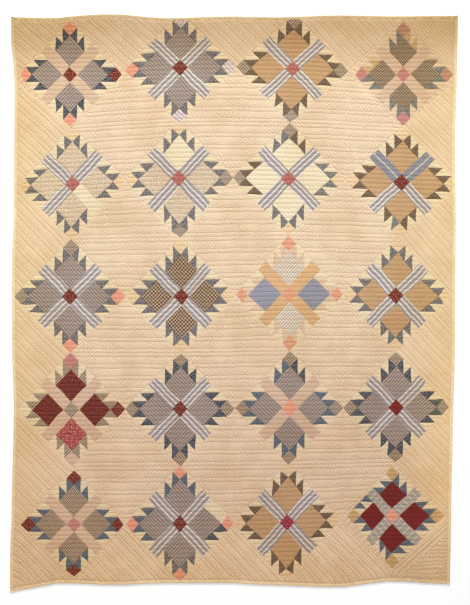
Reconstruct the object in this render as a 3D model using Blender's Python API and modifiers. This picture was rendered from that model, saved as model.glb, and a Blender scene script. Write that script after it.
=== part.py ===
"""Bear paw quilt laid flat: one quilted body and the four binding strips folded over its edges.

Metres, +Z up, +X towards the quilt's right edge and +Y towards its top edge. The origin is under the
middle of the quilt, on the surface that it lies on. The blocks are set on point, 4 across and 5 down,
so the grid of the body has 20 steps across a block's diagonal and every seam runs through its points.
"""

import math
from typing import NamedTuple

import bmesh
import bpy
from mathutils import Vector

# Driving sizes of the quilt
QUILT_WIDTH = 1.740
QUILT_LENGTH = 2.242
BLOCKS_ACROSS = 4
BLOCKS_DOWN = 5
STEPS_A_BLOCK = 20
STITCH_HEIGHT = 0.0032
CREST_HEIGHT = 0.0060
GAP = 0.0003

# The binding: one strip of cloth folded round each edge
BINDING_WIDTH = 0.011
BINDING_HEIGHT = 0.0046
BINDING_CLOTH = 0.0010
FOLD_SEGMENTS = 3
STEPS_A_STATION = 4

# Derived sizes
COLUMNS = BLOCKS_ACROSS * STEPS_A_BLOCK
ROWS = BLOCKS_DOWN * STEPS_A_BLOCK
HALF_BLOCK = STEPS_A_BLOCK // 2
SEAM_INSET = BINDING_WIDTH + GAP
EDGE_INSET = 0.0030
EDGE_BOTTOM = BINDING_CLOTH + GAP
DIAGONAL_PERIOD = 3
ROW_PERIOD = 2
CREST_STEP = 1
UNEVEN_REACH = 0.30
FLAT_ANGLE = math.radians(0.25)


class EdgeRow(NamedTuple):
    """How far an edge lies in from its straight line at one place along it."""

    along: float
    inset: float


class Crease(NamedTuple):
    """A soft fold line down the quilt, at grid column, from one grid row to another."""

    column: int
    from_row: int
    to_row: int
    depth: float


# Side edges are measured down from the top, end edges from the left
LEFT_EDGE = [
    EdgeRow(0.00, 0.004),
    EdgeRow(0.08, 0.004),
    EdgeRow(0.25, 0.018),
    EdgeRow(0.76, 0.015),
    EdgeRow(0.95, 0.008),
    EdgeRow(1.28, 0.008),
    EdgeRow(1.52, 0.015),
    EdgeRow(1.90, 0.007),
    EdgeRow(2.13, 0.000),
    EdgeRow(2.242, 0.000),
]
RIGHT_EDGE = [
    EdgeRow(0.00, 0.000),
    EdgeRow(0.27, 0.005),
    EdgeRow(0.48, 0.012),
    EdgeRow(0.78, 0.009),
    EdgeRow(1.30, 0.012),
    EdgeRow(1.60, 0.020),
    EdgeRow(1.90, 0.026),
    EdgeRow(2.242, 0.031),
]
TOP_EDGE = [
    EdgeRow(0.00, 0.011),
    EdgeRow(0.15, 0.015),
    EdgeRow(0.35, 0.000),
    EdgeRow(0.41, 0.000),
    EdgeRow(0.60, 0.015),
    EdgeRow(0.86, 0.008),
    EdgeRow(1.03, 0.012),
    EdgeRow(1.27, 0.004),
    EdgeRow(1.50, 0.008),
    EdgeRow(1.740, 0.006),
]
BOTTOM_EDGE = [
    EdgeRow(0.00, 0.000),
    EdgeRow(0.20, 0.033),
    EdgeRow(0.41, 0.025),
    EdgeRow(0.60, 0.033),
    EdgeRow(0.86, 0.033),
    EdgeRow(1.00, 0.025),
    EdgeRow(1.27, 0.017),
    EdgeRow(1.48, 0.040),
    EdgeRow(1.740, 0.029),
]

CREASES = [
    Crease(column=41, from_row=52, to_row=98, depth=0.0010),
    Crease(column=62, from_row=60, to_row=96, depth=0.0007),
]


def ease(t):
    """Rises smoothly from 0 at t = 0 to 1 at t = 1, level at both ends."""
    t = min(max(t, 0.0), 1.0)
    return t * t * (3.0 - 2.0 * t)


def eased_inset(rows, along):
    """The edge's distance in from its straight line, eased from each row of its table to the next."""
    if along <= rows[0].along:
        return rows[0].inset
    for here, after in zip(rows, rows[1:]):
        if along <= after.along:
            share = ease((along - here.along) / (after.along - here.along))
            return here.inset + share * (after.inset - here.inset)
    return rows[-1].inset


def station_places(length, steps):
    """Places along an edge where it may bend: both corners, and every few grid steps between the seams."""
    step = (length - 2.0 * SEAM_INSET) / steps
    inner = [SEAM_INSET + step * i for i in range(0, steps + 1, STEPS_A_STATION)]
    return [0.0] + inner + [length]


SIDE_STATIONS = station_places(QUILT_LENGTH, ROWS)
END_STATIONS = station_places(QUILT_WIDTH, COLUMNS)


def inset_at(rows, stations, along):
    """The inset of an edge, straight between its stations, so that body and binding bend together."""
    along = min(max(along, 0.0), stations[-1])
    for here, after in zip(stations, stations[1:]):
        if along <= after:
            share = (along - here) / (after - here)
            return (1.0 - share) * eased_inset(rows, here) + share * eased_inset(rows, after)
    return eased_inset(rows, stations[-1])


def laid(from_left, from_top):
    """Where a point of the straight-edged quilt lies once its edges are as uneven as they are."""

    def near(distance):
        return 1.0 - ease(distance / UNEVEN_REACH)

    left = inset_at(LEFT_EDGE, SIDE_STATIONS, from_top) * near(from_left)
    right = inset_at(RIGHT_EDGE, SIDE_STATIONS, from_top) * near(QUILT_WIDTH - from_left)
    top = inset_at(TOP_EDGE, END_STATIONS, from_left) * near(from_top)
    bottom = inset_at(BOTTOM_EDGE, END_STATIONS, from_left) * near(QUILT_LENGTH - from_top)
    x = from_left - QUILT_WIDTH / 2.0 + left - right
    y = QUILT_LENGTH / 2.0 - from_top - top + bottom
    return x, y


def grid_distance(index, steps, length):
    """How far along the quilt a grid line lies: index 0 and steps + 2 are the body's own edges."""
    if index == 0:
        return EDGE_INSET
    if index == steps + 2:
        return length - EDGE_INSET
    return SEAM_INSET + (index - 1) * (length - 2.0 * SEAM_INSET) / steps


def from_nearest_middle(column, row):
    """Grid steps, across plus down, to the middle of the nearest plain square or edge piece."""
    across = abs((column + HALF_BLOCK) % STEPS_A_BLOCK - HALF_BLOCK)
    down = abs((row + HALF_BLOCK) % STEPS_A_BLOCK - HALF_BLOCK)
    return across + down


def in_setting_triangle(column, row):
    """True within the half squares and corner pieces that fill the quilt's edges."""
    nearest_column = STEPS_A_BLOCK * round(column / STEPS_A_BLOCK)
    nearest_row = STEPS_A_BLOCK * round(row / STEPS_A_BLOCK)
    on_side = nearest_column in (0, COLUMNS) or nearest_row in (0, ROWS)
    return on_side and from_nearest_middle(column, row) < HALF_BLOCK


def crease_drop(column, row):
    """How much lower a fold crease makes the top here."""
    return sum(
        crease.depth
        for crease in CREASES
        if crease.column == column and crease.from_row <= row <= crease.to_row
    )


def top_height(column, row):
    """Height of the top: low at seams and quilting lines, high on the filled channels between them.

    Blocks and plain squares are quilted in level rows, and the pieces along the edges in slanted ones.
    """
    if not (0 < column < COLUMNS and 0 < row < ROWS):
        return STITCH_HEIGHT
    if from_nearest_middle(column, row) == HALF_BLOCK:
        return STITCH_HEIGHT
    if in_setting_triangle(column, row):
        on_crest = (column - row) % DIAGONAL_PERIOD == CREST_STEP
    else:
        on_crest = row % ROW_PERIOD == CREST_STEP
    if on_crest:
        return CREST_HEIGHT - crease_drop(column, row)
    return STITCH_HEIGHT


def finish_object(name, bm, colour, collection):
    """Puts a bmesh into the collection as a named object with a material of its own."""
    bmesh.ops.recalc_face_normals(bm, faces=bm.faces[:])
    mesh = bpy.data.meshes.new(name)
    bm.to_mesh(mesh)
    bm.free()
    material = bpy.data.materials.new(name)
    material.use_nodes = True
    shader = material.node_tree.nodes["Principled BSDF"]
    shader.inputs["Base Color"].default_value = colour
    shader.inputs["Roughness"].default_value = 0.9
    shader.inputs["Metallic"].default_value = 0.0
    mesh.materials.append(material)
    made = bpy.data.objects.new(name, mesh)
    collection.objects.link(made)
    return made


def grid_index(coordinate, steps):
    """The index of a grid line from its place on a primitive grid, which runs from -1 to 1."""
    return round((coordinate + 1.0) / 2.0 * steps)


def build_quilt(collection):
    """The quilted body: a grid drawn down to a flat back, its top raised between the stitching."""
    bm = bmesh.new()
    bmesh.ops.create_grid(bm, x_segments=COLUMNS + 2, y_segments=ROWS + 2, size=1.0)
    extruded = bmesh.ops.extrude_face_region(bm, geom=bm.faces[:])["geom"]
    top = {item for item in extruded if isinstance(item, bmesh.types.BMVert)}
    for vert in bm.verts:
        across = grid_index(vert.co.x, COLUMNS + 2)
        down = grid_index(-vert.co.y, ROWS + 2)
        x, y = laid(
            grid_distance(across, COLUMNS, QUILT_WIDTH), grid_distance(down, ROWS, QUILT_LENGTH)
        )
        on_rim = not (1 < across < COLUMNS + 1 and 1 < down < ROWS + 1)
        if vert in top:
            z = top_height(across - 1, down - 1)
        else:
            z = EDGE_BOTTOM if on_rim else 0.0
        vert.co = Vector((x, y, z))
    quilt = finish_object("quilt", bm, (0.84, 0.67, 0.43, 1.0), collection)
    joined = quilt.modifiers.new("join flat faces", "DECIMATE")
    joined.decimate_type = "DISSOLVE"
    joined.angle_limit = FLAT_ANGLE
    return quilt


def fold_profile():
    """The binding's outer face across its width, as (in from the edge, height), from back to front."""
    radius = BINDING_HEIGHT / 2.0
    points = [(BINDING_WIDTH, 0.0)]
    for i in range(FOLD_SEGMENTS + 1):
        angle = math.pi * i / FOLD_SEGMENTS
        points.append((radius - radius * math.sin(angle), radius - radius * math.cos(angle)))
    points.append((BINDING_WIDTH, BINDING_HEIGHT))
    return points


def build_binding(name, side, collection):
    """One binding strip, folded round an edge of the body: a bent grid with the cloth's thickness.

    The side strips reach both corners, and the end strips lie between them.
    """
    is_side = side in ("left", "right")
    stations = SIDE_STATIONS if is_side else END_STATIONS[1:-1]
    if not is_side:
        stations = [SEAM_INSET] + stations[1:-1] + [QUILT_WIDTH - SEAM_INSET]
    profile = fold_profile()
    bm = bmesh.new()
    bmesh.ops.create_grid(
        bm, x_segments=len(stations) - 1, y_segments=len(profile) - 1, size=1.0
    )
    for vert in bm.verts:
        along = stations[grid_index(vert.co.x, len(stations) - 1)]
        inward, height = profile[grid_index(vert.co.y, len(profile) - 1)]
        x, y = {
            "left": lambda: laid(inward, along),
            "right": lambda: laid(QUILT_WIDTH - inward, along),
            "top": lambda: laid(along, inward),
            "bottom": lambda: laid(along, QUILT_LENGTH - inward),
        }[side]()
        vert.co = Vector((x, y, height))
    binding = finish_object(name, bm, (0.80, 0.66, 0.42, 1.0), collection)
    cloth = binding.modifiers.new("cloth thickness", "SOLIDIFY")
    cloth.thickness = BINDING_CLOTH
    cloth.offset = -1.0 if faces_out(binding) else 1.0
    cloth.use_even_offset = True
    return binding


def faces_out(binding):
    """True if the faces on the strip's front point up, away from the fold's inside."""
    front = max(binding.data.polygons, key=lambda face: face.center.z)
    return front.normal.z > 0.0


def main():
    """Clears the scene and builds the quilt's pieces in a collection of its own."""
    for old in list(bpy.data.objects):
        bpy.data.objects.remove(old, do_unlink=True)
    collection = bpy.data.collections.new("bear paw quilt")
    bpy.context.scene.collection.children.link(collection)
    build_quilt(collection)
    for side in ("left", "right", "top", "bottom"):
        build_binding(f"binding_{side}", side, collection)


if __name__ == "__main__":
    main()
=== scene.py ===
"""Bear paw quilt laid flat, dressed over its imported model.

The pieced top is made as it was sewn: 20 bear paw blocks and 12 plain squares set on point, 14 half
squares and 4 corner pieces along the edges, each a thin sheet with its own cloths, quilted through to a
backing, and four binding strips folded round the edges. Metres, +X to the right edge, +Y to the top edge.

Pattern space: u runs from the left tips (0) to the right tips (4) and v from the top tips (0) to the
bottom tips (5), one block diagonal a unit. Within a piece, p runs to the lower right and q to the upper
right, in patch units from the piece's middle, so that every seam lies on a line of its grid.
"""

from __future__ import annotations

import logging
import math
from dataclasses import dataclass, field
from enum import Enum
from typing import ClassVar, NamedTuple, Sequence

import bpy  # noqa: E402
import numpy as np  # noqa: E402
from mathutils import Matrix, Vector  # noqa: E402

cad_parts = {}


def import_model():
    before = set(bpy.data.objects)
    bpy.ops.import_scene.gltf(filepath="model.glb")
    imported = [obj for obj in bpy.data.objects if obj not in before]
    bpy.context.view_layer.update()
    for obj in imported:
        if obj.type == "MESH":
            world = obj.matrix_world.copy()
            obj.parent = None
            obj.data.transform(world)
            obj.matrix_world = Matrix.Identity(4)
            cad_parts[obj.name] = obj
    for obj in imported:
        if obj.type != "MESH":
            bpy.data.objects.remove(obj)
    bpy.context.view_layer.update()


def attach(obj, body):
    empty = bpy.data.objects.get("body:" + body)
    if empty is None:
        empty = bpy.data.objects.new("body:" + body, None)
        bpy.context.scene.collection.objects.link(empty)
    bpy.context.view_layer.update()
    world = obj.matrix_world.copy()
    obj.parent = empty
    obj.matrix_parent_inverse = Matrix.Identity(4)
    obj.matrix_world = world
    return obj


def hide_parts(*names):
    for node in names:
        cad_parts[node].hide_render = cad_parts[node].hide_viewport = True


Array = np.ndarray
Socket = bpy.types.NodeSocket
LOG = logging.getLogger("bear paw quilt")

UNIT = 0.3048 / 7.0
STEPS = 12
HALF_SIDE = 3.5
DIAGONAL = 7.0 * math.sqrt(2.0) * UNIT
BLOCKS_ACROSS = 4
BLOCKS_DOWN = 5
MARGIN_STEPS = 8
MARGIN = MARGIN_STEPS / (14.0 * STEPS)
EDGE_INSET = 0.0030
LEAST_SPREAD = 0.10
THREAD_PITCH = 0.00055
STITCH_PITCH = 0.0034


class Rgb(NamedTuple):
    """A colour as it looks in the photograph, 0 to 255 a channel."""

    red: float
    green: float
    blue: float

    def linear(self) -> tuple[float, float, float, float]:
        """The colour in linear light, with an alpha of 1."""
        shares = [value / 255.0 for value in self]
        bent = [s / 12.92 if s <= 0.04045 else ((s + 0.055) / 1.055) ** 2.4 for s in shares]
        return bent[0], bent[1], bent[2], 1.0


def ease(t: Array | float) -> Array:
    """Rises from 0 to 1 as t does, level at both ends: 3 t squared less 2 t cubed, t held to 0..1."""
    held = np.clip(t, 0.0, 1.0)
    return held * held * (3.0 - 2.0 * held)


# ---- the quilt's outline


class EdgeRow(NamedTuple):
    """How far an edge lies in from its straight line at one place along it."""

    along: float
    inset: float


def edge_rows(*pairs: tuple[float, float]) -> tuple[EdgeRow, ...]:
    """An edge's table, from pairs of a place along it and an inset."""
    return tuple(EdgeRow(*pair) for pair in pairs)


@dataclass(frozen=True)
class Outline:
    """The uneven outline of the quilt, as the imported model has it."""

    width: float = 1.740
    length: float = 2.242
    binding_width: float = 0.011
    gap: float = 0.0003
    uneven_reach: float = 0.30
    steps_a_station: int = 4
    left: tuple[EdgeRow, ...] = edge_rows(
        (0.00, 0.004), (0.08, 0.004), (0.25, 0.018), (0.76, 0.015), (0.95, 0.008),
        (1.28, 0.008), (1.52, 0.015), (1.90, 0.007), (2.13, 0.000), (2.242, 0.000),
    )  # fmt: skip
    right: tuple[EdgeRow, ...] = edge_rows(
        (0.00, 0.000), (0.27, 0.005), (0.48, 0.012), (0.78, 0.009), (1.30, 0.012),
        (1.60, 0.020), (1.90, 0.026), (2.242, 0.031),
    )  # fmt: skip
    top: tuple[EdgeRow, ...] = edge_rows(
        (0.00, 0.011), (0.15, 0.015), (0.35, 0.000), (0.41, 0.000), (0.60, 0.015),
        (0.86, 0.008), (1.03, 0.012), (1.27, 0.004), (1.50, 0.008), (1.740, 0.006),
    )  # fmt: skip
    bottom: tuple[EdgeRow, ...] = edge_rows(
        (0.00, 0.000), (0.20, 0.033), (0.41, 0.025), (0.60, 0.033), (0.86, 0.033),
        (1.00, 0.025), (1.27, 0.017), (1.48, 0.040), (1.740, 0.029),
    )  # fmt: skip

    @property
    def seam_inset(self) -> float:
        """How far in the binding's sewn line lies."""
        return self.binding_width + self.gap

    def stations(self, length: float, blocks: int) -> Array:
        """Places along an edge where it may bend, both corners among them.

        Args:
            length: The straight length of the edge, in metres.
            blocks: How many blocks lie along it.

        Returns:
            Distances along the edge, in metres.
        """
        inner = np.linspace(self.seam_inset, length - self.seam_inset, blocks * 20 // 4 + 1)
        return np.concatenate([[0.0], inner, [length]])

    def inset(self, rows: Sequence[EdgeRow], along: Array, length: float, blocks: int) -> Array:
        """The inset along an edge: eased from row to row of its table, then straight between stations.

        Args:
            rows: The edge's table.
            along: Distances along the edge.
            length: The straight length of the edge.
            blocks: How many blocks lie along it.

        Returns:
            Distances in from the edge's straight line.
        """
        places = self.stations(length, blocks)
        alongs = np.array([row.along for row in rows])
        insets = np.array([row.inset for row in rows])
        index = np.clip(np.searchsorted(alongs, places, side="right") - 1, 0, len(rows) - 2)
        share = ease((places - alongs[index]) / (alongs[index + 1] - alongs[index]))
        at_places = insets[index] + share * (insets[index + 1] - insets[index])
        return np.interp(along, places, at_places)

    def laid(self, from_left: Array, from_top: Array) -> tuple[Array, Array]:
        """Where a point of the straight-edged quilt lies once its edges are uneven.

        Each side's inset is taken in full at the edge and fades to nothing 0.3 m away from it.

        Args:
            from_left: Distances from the straight left edge.
            from_top: Distances from the straight top edge.

        Returns:
            x and y, in metres.
        """

        def near(distance: Array) -> Array:
            """1 at an edge, falling to 0 at the reach."""
            return 1.0 - ease(distance / self.uneven_reach)

        down, across = (self.length, BLOCKS_DOWN), (self.width, BLOCKS_ACROSS)
        left = self.inset(self.left, from_top, *down) * near(from_left)
        right = self.inset(self.right, from_top, *down) * near(self.width - from_left)
        top = self.inset(self.top, from_left, *across) * near(from_top)
        bottom = self.inset(self.bottom, from_left, *across) * near(self.length - from_top)
        x = from_left - self.width / 2.0 + left - right
        y = self.length / 2.0 - from_top - top + bottom
        return x, y

    def limits(self, x: Array, y: Array, inset: float) -> tuple[Array, Array, Array, Array]:
        """The lines that the cloth ends on, level with or above and below each point.

        Args:
            x: Points across the quilt.
            y: Points up the quilt.
            inset: How far inside the outline the lines lie.

        Returns:
            Lowest x, highest x, lowest y and highest y for each point.
        """
        down = np.linspace(0.0, self.length, 400)
        across = np.linspace(0.0, self.width, 320)
        left_x, left_y = self.laid(np.full_like(down, inset), down)
        right_x, right_y = self.laid(np.full_like(down, self.width - inset), down)
        top_x, top_y = self.laid(across, np.full_like(across, inset))
        low_x, low_y = self.laid(across, np.full_like(across, self.length - inset))
        return (
            np.interp(-y, -left_y, left_x),
            np.interp(-y, -right_y, right_x),
            np.interp(x, low_x, low_y),
            np.interp(x, top_x, top_y),
        )


# ---- node trees


class Nodes:
    """Adds nodes to one tree, with short calls for the kinds that cloth needs."""

    def __init__(self, tree: bpy.types.NodeTree) -> None:
        """Starts with the tree that the nodes go into."""
        self.tree = tree
        self.count = 0

    def add(self, kind: str, **settings: object) -> bpy.types.Node:
        """A new node with its settings, placed to the right of the last one.

        Args:
            kind: The node's type name.
            **settings: Properties to set on it.

        Returns:
            The node.
        """
        node = self.tree.nodes.new(kind)
        node.location = (180.0 * (self.count % 12), -260.0 * (self.count // 12))
        self.count += 1
        for name, value in settings.items():
            setattr(node, name, value)
        return node

    def feed(self, socket: Socket, value: object) -> None:
        """Links a socket to value where that is a socket, and else sets its default."""
        if isinstance(value, Socket):
            self.tree.links.new(value, socket)
        elif value is not None:
            socket.default_value = value

    def math(self, operation: str, *values: object, clamp: bool = False) -> Socket:
        """A Math node's result.

        Args:
            operation: The node's operation.
            *values: Its inputs, sockets or numbers.
            clamp: Holds the result to 0..1.

        Returns:
            The output socket.
        """
        node = self.add("ShaderNodeMath", operation=operation, use_clamp=clamp)
        for socket, value in zip(node.inputs, values):
            self.feed(socket, value)
        return node.outputs[0]

    def smooth(
        self, value: object, low: object, high: object, start: float = 0.0, end: float = 1.0
    ) -> Socket:
        """A smooth step from start to end while value goes from low to high.

        Args:
            value: The driving socket.
            low: Where the step begins.
            high: Where it ends.
            start: The result below low.
            end: The result above high.

        Returns:
            The output socket.
        """
        node = self.add("ShaderNodeMapRange", interpolation_type="SMOOTHSTEP")
        for socket, given in zip(node.inputs, (value, low, high, start, end)):
            self.feed(socket, given)
        return node.outputs[0]

    def mix(
        self, share: object, first: object, second: object, blend: str = "MIX"
    ) -> Socket:
        """A colour mix.

        Args:
            share: How much of the second colour.
            first: The first colour.
            second: The second colour.
            blend: The blend mode.

        Returns:
            The mixed colour's socket.
        """
        node = self.add("ShaderNodeMix", data_type="RGBA", blend_type=blend)
        self.feed(node.inputs["Factor"], share)
        colours = [s for s in node.inputs if s.type == "RGBA"]
        self.feed(colours[0], first)
        self.feed(colours[1], second)
        return next(s for s in node.outputs if s.type == "RGBA")

    def noise(self, vector: object, scale: float, detail: float = 2.0) -> Socket:
        """Smooth noise from 0 to 1, about 0.5, on a vector.

        Args:
            vector: Where it is read.
            scale: Cells a metre.
            detail: How many finer layers.

        Returns:
            The value's socket.
        """
        node = self.add("ShaderNodeTexNoise")
        self.feed(node.inputs["Vector"], vector)
        node.inputs["Scale"].default_value = scale
        node.inputs["Detail"].default_value = detail
        return node.outputs[0]

    def split(self, vector: object) -> tuple[Socket, Socket]:
        """The x and y of a vector."""
        node = self.add("ShaderNodeSeparateXYZ")
        self.feed(node.inputs[0], vector)
        return node.outputs[0], node.outputs[1]

    def joined(self, x: object, y: object) -> Socket:
        """The vector with this x and y, and a z of 0."""
        node = self.add("ShaderNodeCombineXYZ")
        self.feed(node.inputs[0], x)
        self.feed(node.inputs[1], y)
        return node.outputs[0]

    def group(self, tree: bpy.types.NodeTree, **inputs: object) -> bpy.types.Node:
        """Places a node group and fills its inputs by name, with spaces written as underscores."""
        node = self.add("ShaderNodeGroup")
        node.node_tree = tree
        for name, value in inputs.items():
            self.feed(node.inputs[name.replace("_", " ")], value)
        return node


class SocketKind(Enum):
    """The kinds of socket that the groups have."""

    VALUE = "NodeSocketFloat"
    VECTOR = "NodeSocketVector"
    COLOUR = "NodeSocketColor"


VALUE, VECTOR, COLOUR = SocketKind.VALUE, SocketKind.VECTOR, SocketKind.COLOUR


class ClothGroups:
    """The effects that the cloths share, each a node group built once."""

    def __init__(self) -> None:
        """Starts with no group built."""
        self.built: dict[str, bpy.types.NodeTree] = {}

    def _new(
        self, name: str, inputs: dict[str, SocketKind], outputs: dict[str, SocketKind]
    ) -> tuple[Nodes, bpy.types.Node, bpy.types.Node]:
        """A new group tree with its sockets.

        Args:
            name: The group's name.
            inputs: Its input sockets.
            outputs: Its output sockets.

        Returns:
            The tree's Nodes, its input node and its output node.
        """
        tree = bpy.data.node_groups.new(name, "ShaderNodeTree")
        for label, kind in inputs.items():
            tree.interface.new_socket(name=label, in_out="INPUT", socket_type=kind.value)
        for label, kind in outputs.items():
            tree.interface.new_socket(name=label, in_out="OUTPUT", socket_type=kind.value)
        self.built[name] = tree
        nodes = Nodes(tree)
        return nodes, nodes.add("NodeGroupInput"), nodes.add("NodeGroupOutput")

    def weave(self) -> bpy.types.NodeTree:
        """Plain weave: threads over and under as a product of two sines, with slubs along both."""
        if "plain weave" not in self.built:
            nodes, given, result = self._new(
                "plain weave", {"Vector": VECTOR, "Pitch": VALUE}, {"Height": VALUE, "Tone": VALUE}
            )
            x, y = nodes.split(given.outputs["Vector"])
            turns_x = nodes.math("DIVIDE", x, given.outputs["Pitch"])
            turns_y = nodes.math("DIVIDE", y, given.outputs["Pitch"])
            wave_x = nodes.math("SINE", nodes.math("MULTIPLY", turns_x, math.pi))
            wave_y = nodes.math("SINE", nodes.math("MULTIPLY", turns_y, math.pi))
            over = nodes.math("MULTIPLY", wave_x, wave_y)
            height = nodes.math("MULTIPLY_ADD", over, 0.5, 0.5)
            along = nodes.noise(nodes.joined(nodes.math("MULTIPLY", x, 0.12), y), 900.0, 1.0)
            across = nodes.noise(nodes.joined(x, nodes.math("MULTIPLY", y, 0.12)), 900.0, 1.0)
            slubs = nodes.math("MULTIPLY", nodes.math("ADD", along, across), 0.5)
            tone = nodes.math("MULTIPLY_ADD", over, 0.06, slubs)
            nodes.feed(result.inputs["Height"], nodes.math("ADD", height, slubs))
            nodes.feed(result.inputs["Tone"], tone)
        return self.built["plain weave"]

    def stripe(self) -> bpy.types.NodeTree:
        """Woven lines: 1 where the distance to the nearest whole pitch is under half the line's share."""
        if "woven lines" not in self.built:
            nodes, given, result = self._new(
                "woven lines", {"Across": VALUE, "Pitch": VALUE, "Share": VALUE}, {"Mask": VALUE}
            )
            turns = nodes.math("DIVIDE", given.outputs["Across"], given.outputs["Pitch"])
            distance = nodes.math("PINGPONG", turns, 0.5)
            half = nodes.math("MULTIPLY", given.outputs["Share"], 0.5)
            low = nodes.math("MULTIPLY", half, 0.85)
            high = nodes.math("MULTIPLY", half, 1.15)
            nodes.feed(result.inputs["Mask"], nodes.smooth(distance, low, high, 1.0, 0.0))
        return self.built["woven lines"]

    def check(self) -> bpy.types.NodeTree:
        """Woven check: the mean of lines across and lines along, so 0, a half or 1."""
        if "woven check" not in self.built:
            nodes, given, result = self._new(
                "woven check", {"Vector": VECTOR, "Pitch": VALUE, "Share": VALUE}, {"Mask": VALUE}
            )
            x, y = nodes.split(given.outputs["Vector"])
            masks = [
                nodes.group(
                    self.stripe(),
                    Across=value,
                    Pitch=given.outputs["Pitch"],
                    Share=given.outputs["Share"],
                ).outputs["Mask"]
                for value in (x, y)
            ]
            mean = nodes.math("MULTIPLY", nodes.math("ADD", *masks), 0.5)
            nodes.feed(result.inputs["Mask"], mean)
        return self.built["woven check"]

    def specks(self) -> bpy.types.NodeTree:
        """Printed specks: 1 within Size of the nearest of points strewn about one a pitch apart."""
        if "printed specks" not in self.built:
            nodes, given, result = self._new(
                "printed specks", {"Vector": VECTOR, "Pitch": VALUE, "Size": VALUE}, {"Mask": VALUE}
            )
            x, y = nodes.split(given.outputs["Vector"])
            place = nodes.joined(
                nodes.math("DIVIDE", x, given.outputs["Pitch"]),
                nodes.math("DIVIDE", y, given.outputs["Pitch"]),
            )
            cells = nodes.add("ShaderNodeTexVoronoi", voronoi_dimensions="2D")
            nodes.feed(cells.inputs["Vector"], place)
            cells.inputs["Scale"].default_value = 1.0
            cells.inputs["Randomness"].default_value = 0.7
            low = nodes.math("MULTIPLY", given.outputs["Size"], 0.7)
            high = nodes.math("MULTIPLY", given.outputs["Size"], 1.3)
            mask = nodes.smooth(cells.outputs["Distance"], low, high, 1.0, 0.0)
            nodes.feed(result.inputs["Mask"], mask)
        return self.built["printed specks"]

    def rows(self) -> bpy.types.NodeTree:
        """Quilting rows: a line wherever y is whole, dashed along x into running stitches.

        Thread is 1 on a stitch, and Ditch falls from 1 on the line to 0 beside it.
        """
        if "quilting rows" not in self.built:
            nodes, given, result = self._new(
                "quilting rows", {"Vector": VECTOR, "Stitch": VALUE}, {"Thread": VALUE, "Ditch": VALUE}
            )
            along, phase = nodes.split(given.outputs["Vector"])
            distance = nodes.math("PINGPONG", phase, 0.5)
            on_line = nodes.smooth(distance, 0.012, 0.026, 1.0, 0.0)
            turns = nodes.math("DIVIDE", along, given.outputs["Stitch"])
            in_stitch = nodes.smooth(nodes.math("PINGPONG", turns, 0.5), 0.20, 0.28, 1.0, 0.0)
            nodes.feed(result.inputs["Thread"], nodes.math("MULTIPLY", on_line, in_stitch))
            nodes.feed(result.inputs["Ditch"], nodes.smooth(distance, 0.01, 0.11, 1.0, 0.0))
        return self.built["quilting rows"]

    def puckers(self) -> bpy.types.NodeTree:
        """Small puckers: fine creases that slant one way or the other, and loose unevenness.

        A crease lies wherever x plus or minus 0.84 y, over the pitch, is whole. Noise bends the creases
        and hands each place over to one slant or the other. Line is 1 on a crease.
        """
        if "puckers" not in self.built:
            nodes, given, result = self._new(
                "puckers", {"Object": VECTOR, "Strength": VALUE}, {"Height": VALUE, "Line": VALUE}
            )
            place = given.outputs["Object"]
            x, y = nodes.split(place)
            bend = nodes.math("MULTIPLY", nodes.noise(place, 22.0, 2.0), 2.2)
            patchy = nodes.noise(place, 30.0, 2.0)
            slants = []
            for slope, low, high in ((0.84, 0.40, 0.56), (-0.84, 0.60, 0.44)):
                across = nodes.math("MULTIPLY_ADD", y, slope, x)
                turns = nodes.math("MULTIPLY_ADD", across, 80.0, bend)
                crease = nodes.smooth(nodes.math("PINGPONG", turns, 0.5), 0.04, 0.26, 1.0, 0.0)
                slants.append(nodes.math("MULTIPLY", crease, nodes.smooth(patchy, low, high)))
            faint = nodes.smooth(nodes.noise(place, 13.0, 2.0), 0.32, 0.56, 0.45)
            both = nodes.math("MULTIPLY", nodes.math("MAXIMUM", *slants), faint)
            line = nodes.math("MULTIPLY", both, given.outputs["Strength"])
            loose = nodes.math("SUBTRACT", nodes.noise(place, 190.0, 3.0), 0.5)
            height = nodes.math("MULTIPLY_ADD", line, -1.15, nodes.math("MULTIPLY", loose, 2.1))
            nodes.feed(result.inputs["Height"], height)
            nodes.feed(result.inputs["Line"], line)
        return self.built["puckers"]

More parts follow.
